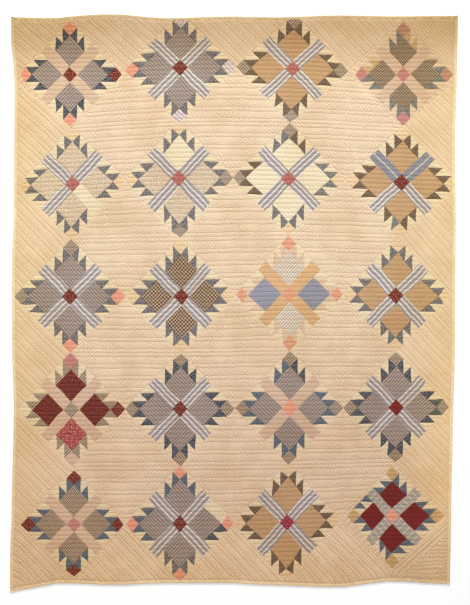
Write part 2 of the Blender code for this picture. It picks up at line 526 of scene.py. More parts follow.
    def age(self) -> bpy.types.NodeTree:
        """Age, handling and painted light: darker and browner towards the ends and corners, partly
        painted shade of the light's falloff, with a painted shade over the top end and a painted lift at
        the lower right, and yellower along every edge from age.

        How far out a point lies is its distance from the middle over the half width and half length.
        """
        if "age, handling and painted light" not in self.built:
            nodes, given, result = self._new(
                "age, handling and painted light", {"Colour": COLOUR, "Object": VECTOR}, {"Colour": COLOUR}
            )
            x, y = nodes.split(given.outputs["Object"])
            out_x = nodes.math("ABSOLUTE", nodes.math("DIVIDE", x, 0.87))
            out_y = nodes.math("ABSOLUTE", nodes.math("DIVIDE", y, 1.12))
            round_x = nodes.math("POWER", out_x, 2.0)
            round_y = nodes.math("POWER", out_y, 2.0)
            corner = nodes.smooth(nodes.math("ADD", round_x, round_y), 1.0, 1.9)
            low = nodes.smooth(y, 0.25, -0.75)
            lowest = nodes.smooth(y, -0.8, -1.12)
            high = nodes.smooth(y, 0.85, 1.10)
            edge = nodes.smooth(nodes.math("MAXIMUM", out_x, out_y), 0.62, 0.98)
            low_right = nodes.math("MULTIPLY", low, nodes.smooth(x, 0.62, 0.84))
            low_left = nodes.math("MULTIPLY", low, nodes.smooth(x, -0.10, -0.45))
            top_corner = nodes.math("MULTIPLY", high, corner)
            last_corner = nodes.smooth(nodes.math("SUBTRACT", x, y), 1.50, 1.85)
            colour = given.outputs["Colour"]
            # Painted light and shade mixed with age: low, corner and last_corner are painted shade of the
            # light's falloff towards the bottom and the corners, low and corner also browner from age;
            # high is painted shade where the lamp beyond the top edge lights most, also yellower from
            # age; low_right and low_left are painted light; lowest, top_corner and edge are yellowing
            # from age.
            for share, tint in (
                (low, (0.88, 0.82, 0.82, 1.0)),
                (lowest, (0.99, 0.96, 0.92, 1.0)),
                (high, (0.715, 0.655, 0.62, 1.0)),
                (corner, (0.95, 0.91, 0.87, 1.0)),
                (low_right, (1.14, 1.14, 1.07, 1.0)),
                (last_corner, (0.86, 0.87, 0.88, 1.0)),
                (low_left, (1.02, 1.015, 1.0, 1.0)),
                (top_corner, (0.955, 0.96, 0.84, 1.0)),
                (edge, (1.0, 0.97, 0.85, 1.0)),
            ):
                tinted = nodes.mix(1.0, colour, tint, "MULTIPLY")
                colour = nodes.mix(share, colour, tinted)
            blotch = nodes.noise(given.outputs["Object"], 5.0, 3.0)
            stained = nodes.mix(1.0, colour, (0.93, 0.89, 0.82, 1.0), "MULTIPLY")
            colour = nodes.mix(nodes.smooth(blotch, 0.38, 0.70), colour, stained)
            nodes.feed(result.inputs["Colour"], colour)
        return self.built["age, handling and painted light"]


# ---- cloths


class Pattern(Enum):
    """How a cotton is woven or printed."""

    PLAIN = "plain"
    LINES = "thin lines"
    BANDS = "broad bands with light lines"
    CHECK = "check"
    SPECKS = "specks"
    MOTTLED = "mottled print"
    CROSS_LINES = "lines both ways"


class Surface(NamedTuple):
    """A cloth's own colour and height, as sockets, and how strongly the height shows."""

    colour: object
    height: object
    relief: float


@dataclass(frozen=True)
class ClothFinish:
    """What every cloth of the quilt shares: it is woven, aged and painted with light and shade across the
    quilt, and dull, and has one material.
    """

    sheen_roughness: ClassVar[float] = 0.6
    label: str
    colour: Rgb

    def surface(
        self, nodes: Nodes, groups: ClothGroups, grain: object, place: object, weave: bpy.types.Node
    ) -> Surface:
        """The cloth's own colour and height.

        Args:
            nodes: The material's nodes.
            groups: The shared node groups.
            grain: The grain vector, in metres.
            place: The place on the quilt.
            weave: The plain weave's group node.

        Returns:
            The surface.
        """
        raise NotImplementedError

    @staticmethod
    def toned(nodes: Nodes, colour: object, weave: bpy.types.Node) -> Socket:
        """A colour made lighter or darker by the weave's tone.

        Args:
            nodes: The material's nodes.
            colour: The colour's socket.
            weave: The plain weave's group node.

        Returns:
            The toned colour's socket.
        """
        toned = nodes.add("ShaderNodeVectorMath", operation="SCALE")
        nodes.feed(toned.inputs[0], colour)
        tone = nodes.smooth(weave.outputs["Tone"], 0.30, 0.70, 0.94, 1.05)
        nodes.feed(toned.inputs["Scale"], tone)
        return toned.outputs[0]

    def material(self, groups: ClothGroups) -> bpy.types.Material:
        """The cloth's material, made the first time that it is asked for.

        Args:
            groups: The shared node groups.

        Returns:
            The material.
        """
        made = bpy.data.materials.get(self.label)
        if made is not None:
            return made
        made = bpy.data.materials.new(self.label)
        made.use_nodes = True
        made.diffuse_color = self.colour.linear()
        nodes = Nodes(made.node_tree)
        shader = made.node_tree.nodes["Principled BSDF"]
        grain = nodes.add("ShaderNodeUVMap", uv_map="grain").outputs[0]
        place = nodes.add("ShaderNodeTexCoord").outputs["Object"]
        weave = nodes.group(groups.weave(), Vector=grain, Pitch=THREAD_PITCH)
        surface = self.surface(nodes, groups, grain, place, weave)
        # The age group lays age tints and painted light and shade over the cloth's colour.
        aged_and_painted_light = nodes.group(groups.age(), Colour=surface.colour, Object=place)
        nodes.feed(shader.inputs["Base Color"], aged_and_painted_light.outputs["Colour"])
        bump = nodes.add("ShaderNodeBump")
        bump.inputs["Strength"].default_value = surface.relief
        bump.inputs["Distance"].default_value = 0.001
        nodes.feed(bump.inputs["Height"], surface.height)
        nodes.feed(shader.inputs["Normal"], bump.outputs["Normal"])
        rough = nodes.smooth(weave.outputs["Tone"], 0.30, 0.70, 0.94, 0.84)
        nodes.feed(shader.inputs["Roughness"], rough)
        shader.inputs["Specular IOR Level"].default_value = 0.22
        shader.inputs["Sheen Weight"].default_value = 0.08
        shader.inputs["Sheen Roughness"].default_value = self.sheen_roughness
        return made


@dataclass(frozen=True)
class Cotton(ClothFinish):
    """One cotton cloth: its colours, its pattern and how large that is."""

    pattern: Pattern = Pattern.PLAIN
    second: Rgb = Rgb(240, 225, 200)
    pitch: float = 0.010
    share: float = 0.25
    thread: Rgb = Rgb(238, 214, 178)
    # ditch: how strongly painted shade darkens the quilting ditches and pucker creases.
    ditch: float = 0.28
    cross_rows: float = 0.0
    puckers: float = 0.5

    def _patterned(self, nodes: Nodes, groups: ClothGroups, grain: object) -> object:
        """The cloth's pattern as a colour.

        Args:
            nodes: The material's nodes.
            groups: The shared node groups.
            grain: The grain vector, in metres, x across the lines.

        Returns:
            The colour's socket.
        """
        base, other = self.colour.linear(), self.second.linear()
        x, y = nodes.split(grain)
        if self.pattern is Pattern.PLAIN:
            share = nodes.smooth(nodes.noise(grain, 60.0, 2.0), 0.35, 0.75, 0.0, 0.10)
            return nodes.mix(share, base, other)
        if self.pattern is Pattern.LINES:
            lines = nodes.group(groups.stripe(), Across=x, Pitch=self.pitch, Share=self.share)
            return nodes.mix(lines.outputs["Mask"], base, other)
        if self.pattern is Pattern.BANDS:
            lines = nodes.group(groups.stripe(), Across=x, Pitch=self.pitch, Share=self.share)
            worn = nodes.smooth(nodes.noise(grain, 300.0, 2.0), 0.40, 0.64, 0.0, 0.22)
            return nodes.mix(lines.outputs["Mask"], nodes.mix(worn, base, other), other)
        if self.pattern is Pattern.CHECK:
            check = nodes.group(groups.check(), Vector=grain, Pitch=self.pitch, Share=self.share)
            return nodes.mix(check.outputs["Mask"], base, other)
        if self.pattern is Pattern.CROSS_LINES:
            lines = nodes.group(groups.stripe(), Across=y, Pitch=self.pitch, Share=self.share)
            return nodes.mix(lines.outputs["Mask"], base, other)
        specks = nodes.group(groups.specks(), Vector=grain, Pitch=self.pitch, Size=self.share)
        if self.pattern is Pattern.SPECKS:
            return nodes.mix(specks.outputs["Mask"], base, other)
        cloud = nodes.smooth(nodes.noise(grain, 1.1 / self.pitch, 3.0), 0.42, 0.66, 0.0, 0.30)
        both = nodes.math("MAXIMUM", cloud, nodes.math("MULTIPLY", specks.outputs["Mask"], 0.80))
        return nodes.mix(both, base, other)

    def surface(
        self, nodes: Nodes, groups: ClothGroups, grain: object, place: object, weave: bpy.types.Node
    ) -> Surface:
        """The patterned cloth, with painted shade in its quilted ditches and pucker creases, and the
        thread on top.

        Args:
            nodes: The material's nodes.
            groups: The shared node groups.
            grain: The grain vector, in metres, x across the lines.
            place: The place on the quilt.
            weave: The plain weave's group node.

        Returns:
            The surface.
        """
        stitched = nodes.add("ShaderNodeUVMap", uv_map="stitch").outputs[0]
        rows = nodes.group(groups.rows(), Vector=stitched, Stitch=STITCH_PITCH)
        ditch, thread = rows.outputs["Ditch"], rows.outputs["Thread"]
        if self.cross_rows > 0.0:
            along, phase = nodes.split(stitched)
            crossed = nodes.math("DIVIDE", along, self.cross_rows)
            spun = nodes.joined(nodes.math("MULTIPLY", phase, 0.022), crossed)
            crossing = nodes.group(groups.rows(), Vector=spun, Stitch=STITCH_PITCH)
            fainter = nodes.math("MULTIPLY", crossing.outputs["Ditch"], 0.45)
            ditch = nodes.math("MAXIMUM", ditch, fainter)
            thread = nodes.math("MAXIMUM", thread, crossing.outputs["Thread"])
        toned = self.toned(nodes, self._patterned(nodes, groups, grain), weave)
        puckers = nodes.group(groups.puckers(), Object=place, Strength=self.puckers)
        # Painted shade: the ditches of the quilting rows and the pucker creases are darkened towards a
        # warm shade tint, as shade falls in the grooves.
        ditch_and_crease_shade = nodes.math("MAXIMUM", ditch, nodes.math("MULTIPLY", puckers.outputs["Line"], 0.9))
        shaded = nodes.mix(1.0, toned, (0.62, 0.43, 0.34, 1.0), "MULTIPLY")
        colour = nodes.mix(nodes.math("MULTIPLY", ditch_and_crease_shade, self.ditch), toned, shaded)
        colour = nodes.mix(nodes.math("MULTIPLY", thread, 0.55), colour, self.thread.linear())
        threads = nodes.math(
            "MULTIPLY_ADD", weave.outputs["Height"], 0.035, puckers.outputs["Height"]
        )
        return Surface(colour, nodes.math("MULTIPLY_ADD", ditch, -0.50, threads), 1.0)


class Cloth(Enum):
    """Every cotton in the quilt, named as a quilter would name it, save two grounds named by their
    painted ditch shade.
    """

    GROUND = Cotton(
        "muslin ground", Rgb(249, 224, 191), second=Rgb(238, 206, 169), ditch=0.46, puckers=1.0
    )
    HATCHED = Cotton(
        "muslin ground cross quilted", Rgb(249, 224, 191), second=Rgb(238, 206, 169),
        cross_rows=0.0105, puckers=0.8, ditch=0.46
    )
    # Ground of the left and right half squares: fainter painted shade in its ditches and softer puckers.
    SOFTLY_SHADED_GROUND = Cotton(
        "muslin ground quilted softly", Rgb(247, 220, 184), second=Rgb(236, 202, 163), puckers=0.7,
        ditch=0.38
    )
    # Ground of the bottom pieces: stronger painted shade in its ditches, where the lamp beyond the top
    # edge gives the relief less shade.
    DEEPLY_SHADED_GROUND = Cotton(
        "muslin ground with deeper painted ditch shade", Rgb(251, 227, 195), second=Rgb(241, 210, 173), puckers=0.8,
        ditch=0.62
    )
    CLAW_GROUND = Cotton("cream claw ground", Rgb(247, 227, 190), second=Rgb(234, 204, 160))
    ROSY_GROUND = Cotton("rosy claw ground", Rgb(240, 210, 176), second=Rgb(232, 190, 150))
    CREAM = Cotton(
        "cream shirting", Rgb(250, 235, 202), Pattern.SPECKS, Rgb(236, 210, 168), 0.006, 0.22
    )
    BEIGE_SPOT = Cotton(
        "beige with light spots", Rgb(221, 197, 167), Pattern.SPECKS, Rgb(252, 238, 212), 0.0105, 0.20
    )
    MAUVE_LINE = Cotton(
        "mauve with light lines", Rgb(152, 135, 127), Pattern.LINES, Rgb(222, 207, 192), 0.0096, 0.19
    )
    TAN = Cotton(
        "tan print", Rgb(211, 173, 130), Pattern.MOTTLED, Rgb(194, 147, 100), 0.009, 0.20, ditch=0.4
    )
    GOLD_TAN = Cotton(
        "gold tan", Rgb(234, 193, 143), Pattern.MOTTLED, Rgb(214, 164, 112), 0.008, 0.2, ditch=0.4
    )
    SLATE = Cotton(
        "slate grey mottled", Rgb(99, 96, 101), Pattern.MOTTLED, Rgb(180, 172, 166), 0.0068, 0.30
    )
    NAVY = Cotton(
        "navy with specks", Rgb(46, 55, 72), Pattern.MOTTLED, Rgb(160, 160, 162), 0.0066, 0.26
    )
    TEAL = Cotton(
        "faded teal print", Rgb(113, 115, 112), Pattern.MOTTLED, Rgb(182, 174, 160), 0.0068, 0.28
    )
    BLUE = Cotton(
        "faded blue print", Rgb(84, 99, 115), Pattern.MOTTLED, Rgb(150, 156, 160), 0.0068, 0.26
    )
    DARK_GREEN = Cotton(
        "dark green grey", Rgb(84, 92, 82), Pattern.MOTTLED, Rgb(138, 144, 128), 0.006, 0.2
    )
    BROWN = Cotton(
        "dark brown print", Rgb(106, 83, 65), Pattern.MOTTLED, Rgb(168, 146, 118), 0.0068, 0.26
    )
    MUSTARD = Cotton(
        "gold mustard print", Rgb(223, 187, 134), Pattern.SPECKS, Rgb(160, 116, 66), 0.0075, 0.20
    )
    PALE_GOLD = Cotton(
        "pale gold print", Rgb(246, 216, 173), Pattern.SPECKS, Rgb(236, 197, 144), 0.008, 0.25
    )
    PEACH_PRINT = Cotton(
        "pale peach print", Rgb(234, 208, 178), Pattern.SPECKS, Rgb(232, 184, 148), 0.011, 0.26
    )
    DARK_RED = Cotton(
        "dark red with light dots", Rgb(124, 46, 37), Pattern.SPECKS, Rgb(206, 150, 118), 0.0095, 0.16,
        ditch=0.3
    )
    OLD_RED = Cotton(
        "old red with small dots", Rgb(116, 42, 36), Pattern.SPECKS, Rgb(180, 108, 88), 0.0095, 0.15
    )
    DEEP_RED = Cotton(
        "deep dark red", Rgb(127, 34, 32), Pattern.SPECKS, Rgb(142, 60, 50), 0.009, 0.13,
        thread=Rgb(150, 84, 72)
    )
    BRIGHT_RED = Cotton(
        "bright dark red", Rgb(137, 38, 31), Pattern.SPECKS, Rgb(106, 26, 28), 0.008, 0.2
    )
    ROSE_RED = Cotton(
        "rose red print", Rgb(181, 98, 94), Pattern.MOTTLED, Rgb(226, 170, 152), 0.010, 0.18
    )
    RASPBERRY = Cotton(
        "raspberry with light dots", Rgb(163, 44, 75), Pattern.SPECKS, Rgb(222, 150, 156), 0.0095,
        0.18
    )
    RASPBERRY_SPOT = Cotton(
        "raspberry with many spots", Rgb(178, 78, 82), Pattern.SPECKS, Rgb(228, 172, 158), 0.0110,
        0.22
    )
    CORAL = Cotton("coral", Rgb(248, 172, 145), second=Rgb(232, 142, 114))
    SALMON = Cotton("salmon", Rgb(237, 170, 134), second=Rgb(216, 142, 108))
    ROSE_PINK = Cotton(
        "rose pink", Rgb(205, 136, 131), Pattern.MOTTLED, Rgb(228, 168, 158), 0.008, 0.15
    )
    FADED_ROSE = Cotton(
        "faded rose", Rgb(201, 148, 121), Pattern.MOTTLED, Rgb(222, 172, 146), 0.008, 0.15
    )
    PINK_TAN = Cotton("pinkish tan", Rgb(228, 197, 169), second=Rgb(216, 180, 150))
    PERIWINKLE = Cotton(
        "periwinkle blue", Rgb(165, 168, 183), Pattern.LINES, Rgb(138, 140, 156), 0.0060, 0.2,
        ditch=0.75
    )
    WHITE_GREY = Cotton(
        "white with grey lines", Rgb(249, 231, 207), Pattern.LINES, Rgb(170, 166, 164), 0.0086, 0.34
    )
    BOLD_CHECK = Cotton(
        "bold tan and black check", Rgb(222, 188, 156), Pattern.CHECK, Rgb(44, 28, 22), 0.0098, 0.54
    )
    DARK_CHECK = Cotton(
        "fine black and cream check", Rgb(208, 180, 148), Pattern.CHECK, Rgb(54, 46, 42), 0.0078, 0.50
    )
    LIGHT_CHECK = Cotton(
        "black and cream check", Rgb(233, 209, 180), Pattern.CHECK, Rgb(58, 52, 50), 0.0086, 0.48
    )
    TAN_CHECK = Cotton(
        "fine black and tan check", Rgb(220, 192, 162), Pattern.CHECK, Rgb(66, 54, 48), 0.0070, 0.46
    )
    BROWN_CHECK = Cotton(
        "fine grey brown check", Rgb(212, 190, 164), Pattern.CHECK, Rgb(97, 83, 69), 0.0084, 0.44
    )
    GOLD_CHECK = Cotton(
        "tan lattice check", Rgb(208, 182, 152), Pattern.CHECK, Rgb(58, 50, 46), 0.0092, 0.36
    )
    LILAC_LINE = Cotton(
        "lilac stripe", Rgb(210, 188, 191), Pattern.LINES, Rgb(250, 240, 232), 0.0135, 0.32
    )
    SASH_STRIPE = Cotton(
        "grey mauve sash stripe", Rgb(159, 152, 158), Pattern.BANDS, Rgb(251, 240, 225), 0.0156, 0.29
    )
    SASH_BLUE = Cotton(
        "light blue sash stripe", Rgb(136, 139, 153), Pattern.BANDS, Rgb(226, 214, 202), 0.0400, 0.10
    )
    SASH_GREEN = Cotton(
        "grey green sash with cross lines", Rgb(183, 176, 164), Pattern.CROSS_LINES,
        Rgb(238, 226, 206), 0.0225, 0.11
    )
    BACKING = Cotton("muslin backing", Rgb(243, 222, 190), second=Rgb(230, 204, 166), puckers=1.0)


@dataclass(frozen=True)
class BindingCotton(ClothFinish):
    """The binding's cloth: plain muslin, paler where it is worn."""

    sheen_roughness: ClassVar[float] = 0.5
    label: str = "muslin binding"
    colour: Rgb = Rgb(247, 225, 188)
    worn: Rgb = Rgb(254, 240, 210)

    def surface(
        self, nodes: Nodes, groups: ClothGroups, grain: object, place: object, weave: bpy.types.Node
    ) -> Surface:
        """The muslin, worn in patches, and slightly pulled.

        Args:
            nodes: The material's nodes.
            groups: Not used.
            grain: The grain vector, in metres, x along the strip.
            place: Not used.
            weave: The plain weave's group node.

        Returns:
            The surface.
        """
        wear = nodes.smooth(nodes.noise(grain, 70.0, 3.0), 0.42, 0.70)
        colour = nodes.mix(wear, self.colour.linear(), self.worn.linear())
        pulled = nodes.noise(grain, 160.0, 2.0)
        height = nodes.math("MULTIPLY_ADD", weave.outputs["Height"], 0.05, pulled)
        return Surface(self.toned(nodes, colour, weave), height, 0.6)


# ---- the chart of the blocks


class Grain(Enum):
    """The way a patch's lines run on the quilt."""

    FALLING = "F"
    RISING = "R"
    LEVEL = "L"


class Turn(Enum):
    """A claw square sewn in otherwise than with its dark half towards the paw's axis."""

    INWARD = "towards the block's middle"
    MIRRORED = "away from the paw's axis"


class Claws(NamedTuple):
    """The cloths of a paw's four claws; first is its left or upper side, second its right or lower."""

    first_inner: Cloth
    first_outer: Cloth
    second_inner: Cloth
    second_outer: Cloth


def claws(first: Cloth, second: Cloth | None = None) -> Claws:
    """A paw's claws with one cloth a side."""
    other = second or first
    return Claws(first, first, other, other)


Four = tuple[Cloth, Cloth, Cloth, Cloth]
FourClaws = tuple[Claws, Claws, Claws, Claws]


def alike(cloth: Cloth) -> Four:
    """The same cloth on all four sides."""
    return cloth, cloth, cloth, cloth


def all_claws(cloth: Cloth) -> FourClaws:
    """The same cloth for every claw."""
    return claws(cloth), claws(cloth), claws(cloth), claws(cloth)


class Bulge(NamedTuple):
    """How far out each paw was sewn past its even place, in millimetres at its claws."""

    left: float
    right: float
    up: float
    down: float


class Reach(NamedTuple):
    """How far a small block's tips reach from its middle, as shares of a full block's half diagonal."""

    left: float
    right: float
    up: float
    down: float


@dataclass(frozen=True)
class BlockChart:
    """One block as the photograph shows it.

    Paws run top, right, bottom, left, and sashes the same way round from the upper right one.
    x and y are the middle of its patches. The square that they are sewn in lies off that by seat.
    """

    column: int
    row: int
    x: float
    y: float
    pads: Four
    claws: FourClaws
    corners: Four
    sashes: Four
    centre: Cloth
    grains: str = "LLLL"
    sash_lines_at: tuple[float, float, float, float] = (0.0, 0.0, 0.0, 0.0)
    bulge: Bulge = Bulge(0.0, 0.0, 0.0, 0.0)
    reach: Reach | None = None
    seat: tuple[float, float] = (0.0, 0.0)
    ground: Cloth = Cloth.CLAW_GROUND
    turns: dict[int, Turn] = field(default_factory=dict)


C = Cloth
CHART: tuple[BlockChart, ...] = (
    BlockChart(
        0, 0, -0.6376, 0.8859, alike(C.MAUVE_LINE), all_claws(C.NAVY),
        (C.CORAL, C.DARK_RED, C.CORAL, C.CORAL), alike(C.PINK_TAN), C.DARK_RED,
        grains="FFRF", reach=Reach(0.878, 0.923, 0.946, 0.946), seat=(0.0020, 0.0),
        bulge=Bulge(12, 8, 7, 0),
    ),
    BlockChart(
        1, 0, -0.2097, 0.9127, alike(C.MAUVE_LINE), all_claws(C.SLATE),
        (C.LILAC_LINE, C.LILAC_LINE, C.LILAC_LINE, C.CORAL), alike(C.SASH_STRIPE), C.DARK_RED,
        grains="RFFF",
        sash_lines_at=(-2.4, 1.9, 5.7, 4.2), bulge=Bulge(5, 4, 0, 8),
    ),
    BlockChart(
        2, 0, 0.2279, 0.9096, alike(C.TAN), all_claws(C.BROWN),
        (C.LIGHT_CHECK, C.BROWN_CHECK, C.LIGHT_CHECK, C.BROWN_CHECK), alike(C.SASH_STRIPE),
        C.ROSE_RED,
        sash_lines_at=(-3.6, 2.0, -0.4, -3.1), bulge=Bulge(6, 6, 0, 6),
    ),
    BlockChart(
        3, 0, 0.6574, 0.8859, alike(C.DARK_CHECK),
        (
            claws(C.TEAL, C.MUSTARD), Claws(C.DARK_CHECK, C.TEAL, C.TEAL, C.TEAL),
            claws(C.TEAL), claws(C.MUSTARD, C.TEAL),
        ),
        (C.FADED_ROSE, C.FADED_ROSE, C.ROSE_PINK, C.ROSE_PINK), alike(C.PINK_TAN), C.ROSE_PINK,
        reach=Reach(0.865, 0.892, 0.946, 0.914), seat=(-0.0020, 0.0), bulge=Bulge(5, 3, 0, 0),
        ground=C.ROSY_GROUND,
    ),
    BlockChart(
        0, 1, -0.6271, 0.4627, alike(C.BEIGE_SPOT), all_claws(C.SLATE), alike(C.PALE_GOLD),
        (C.SASH_STRIPE, C.CREAM, C.SASH_STRIPE, C.SASH_STRIPE), C.ROSE_RED,
        sash_lines_at=(4.6, 0.0, -2.1, 0.0), bulge=Bulge(14, 10, 10, 13),
    ),
    BlockChart(
        1, 1, -0.2147, 0.4829, (C.CREAM, C.BEIGE_SPOT, C.BEIGE_SPOT, C.BEIGE_SPOT),
        all_claws(C.SLATE), (C.PALE_GOLD, C.LIGHT_CHECK, C.BROWN_CHECK, C.PALE_GOLD),
        alike(C.SASH_STRIPE), C.ROSE_RED,
        sash_lines_at=(-6.5, -7.0, 3.8, 2.6), bulge=Bulge(10, 8, 12, 15),
    ),
    BlockChart(
        2, 1, 0.2116, 0.4829, alike(C.CREAM),
        (claws(C.SLATE, C.BROWN), claws(C.TEAL), claws(C.SLATE), claws(C.BROWN)),
        (C.BROWN_CHECK, C.PALE_GOLD, C.PALE_GOLD, C.LIGHT_CHECK), alike(C.SASH_STRIPE), C.ROSE_RED,
        sash_lines_at=(4.7, -3.4, -3.7, -3.0), bulge=Bulge(13, 8, 4, 10),
    ),
    BlockChart(
        3, 1, 0.6512, 0.4673, alike(C.TAN),
        (
            claws(C.BROWN), claws(C.BROWN), Claws(C.BROWN, C.TEAL, C.BROWN, C.BROWN),
            claws(C.BROWN),
        ),
        alike(C.PALE_GOLD), (C.SASH_BLUE, C.SASH_STRIPE, C.SASH_STRIPE, C.SASH_BLUE), C.DARK_RED,
        sash_lines_at=(0.0, 2.2, -2.5, 0.3), bulge=Bulge(5, 4, 9, 1),
    ),
    BlockChart(
        0, 2, -0.6376, 0.0247, alike(C.MAUVE_LINE), all_claws(C.SLATE),
        (C.BROWN_CHECK, C.CORAL, C.CORAL, C.BROWN_CHECK), alike(C.SASH_STRIPE), C.DARK_RED,
        grains="FFFF",
        sash_lines_at=(7.0, -7.2, 5.0, 7.2), bulge=Bulge(6, 2, 3, 4),
    ),
    BlockChart(
        1, 2, -0.2042, 0.0235, alike(C.BOLD_CHECK), all_claws(C.SLATE), alike(C.PALE_GOLD),
        alike(C.SASH_STRIPE), C.DARK_RED,
        sash_lines_at=(5.4, -7.0, 4.8, -6.9), bulge=Bulge(7, 0, 0, 8),
    ),
    BlockChart(
        2, 2, 0.2147, 0.0336, (C.WHITE_GREY, C.PERIWINKLE, C.WHITE_GREY, C.PERIWINKLE),
        all_claws(C.PEACH_PRINT), alike(C.SALMON), alike(C.GOLD_TAN), C.SALMON,
        grains="RLRL", bulge=Bulge(12, 13, 8, 0),
    ),
    BlockChart(
        3, 2, 0.6279, 0.0282, alike(C.TAN), all_claws(C.SLATE), alike(C.PALE_GOLD),
        alike(C.SASH_STRIPE), C.DARK_RED,
        sash_lines_at=(-1.0, 5.6, -1.4, 2.6), bulge=Bulge(3, 17, 9, 7),
    ),
    BlockChart(
        0, 3, -0.6315, -0.4153, (C.OLD_RED, C.OLD_RED, C.RASPBERRY_SPOT, C.OLD_RED),
        (claws(C.BROWN_CHECK), claws(C.TAN_CHECK), claws(C.BROWN_CHECK), claws(C.BROWN_CHECK)),
        (C.ROSE_PINK, C.DARK_RED, C.PINK_TAN, C.CREAM), alike(C.PINK_TAN), C.BROWN_CHECK,
    ),
    BlockChart(
        1, 3, -0.2101, -0.4126, alike(C.MAUVE_LINE), all_claws(C.NAVY), alike(C.GOLD_CHECK),
        alike(C.SASH_STRIPE), C.DARK_RED, grains="FRRF",
        sash_lines_at=(-0.2, -3.5, 6.0, 3.6), bulge=Bulge(8, 2, 6, 4),
    ),
    BlockChart(
        2, 3, 0.2171, -0.4095, alike(C.MAUVE_LINE),
        (claws(C.BLUE, C.NAVY), claws(C.BLUE), claws(C.BLUE), claws(C.BLUE)),
        (C.GOLD_CHECK, C.BROWN_CHECK, C.GOLD_CHECK, C.GOLD_CHECK), alike(C.PINK_TAN), C.CORAL,
        grains="RRFF", bulge=Bulge(6, 2, 5, 5),
    ),
    BlockChart(
        3, 3, 0.6294, -0.4067, alike(C.MAUVE_LINE),
        (
            claws(C.NAVY), Claws(C.NAVY, C.DARK_GREEN, C.NAVY, C.DARK_GREEN), claws(C.NAVY),
            claws(C.NAVY),
        ),
        (C.GOLD_CHECK, C.BROWN_CHECK, C.GOLD_CHECK, C.GOLD_CHECK), alike(C.SASH_STRIPE),
        C.BRIGHT_RED, grains="RRFF",
        sash_lines_at=(3.8, 7.6, 6.1, 7.4), bulge=Bulge(2, 8, 6, 4),
    ),
    BlockChart(
        0, 4, -0.6217, -0.8607, alike(C.TAN_CHECK), all_claws(C.BLUE), alike(C.DARK_RED),
        alike(C.PINK_TAN), C.ROSE_PINK, reach=Reach(0.955, 0.892, 0.959, 0.932),
        seat=(-0.0030, 0.0), bulge=Bulge(0, 6, 5, 8),
    ),
    BlockChart(
        1, 4, -0.2108, -0.8591, alike(C.MAUVE_LINE),
        (claws(C.BLUE), claws(C.CREAM, C.NAVY), claws(C.SLATE), claws(C.BLUE)),
        alike(C.CORAL), alike(C.SASH_STRIPE), C.DARK_RED,
        grains="FRRF",
        sash_lines_at=(2.7, -2.4, -6.8, 5.9), bulge=Bulge(12, 13, 13, 10),
    ),
    BlockChart(
        2, 4, 0.2066, -0.8521, alike(C.TAN), all_claws(C.BROWN), alike(C.PALE_GOLD),
        alike(C.SASH_STRIPE), C.RASPBERRY,
        sash_lines_at=(-1.5, -6.5, -4.3, -1.9), bulge=Bulge(10, 5, 17, 21),
    ),
    BlockChart(
        3, 4, 0.6127, -0.8269, alike(C.DEEP_RED), all_claws(C.BLUE), alike(C.MUSTARD),
        alike(C.SASH_GREEN), C.CORAL, reach=Reach(0.80, 0.946, 0.878, 0.946),
        seat=(0.0060, -0.0055),
        turns={0: Turn.INWARD, 5: Turn.INWARD, 6: Turn.MIRRORED},
    ),
)


# ---- where the pattern lies


def curve_weights(t: Array, count: int) -> Array:
    """Weights of count evenly spaced values in a smooth curve through them, straight beyond its ends.

    Between two values it is the cubic that has their values and, as slopes, half the difference of the
    values on either side of each.

    Args:
        t: Places along the curve, 0 at the first value.
        count: How many values there are.

    Returns:
        One weight a value, on a new last axis.
    """
    inside = np.clip(t, 0.0, count - 1.0)
    k = np.minimum(inside.astype(int), count - 2)
    f = (inside - k)[..., None]
    unit = np.eye(count)
    slope = np.gradient(unit, axis=0)
    weights = (
        (2 * f**3 - 3 * f**2 + 1) * unit[k]
        + (f**3 - 2 * f**2 + f) * slope[k]
        + (3 * f**2 - 2 * f**3) * unit[k + 1]
        + (f**3 - f**2) * slope[k + 1]
    )
    beyond = (t - inside)[..., None]
    return weights + beyond * np.where(beyond > 0.0, slope[k + 1], slope[k])


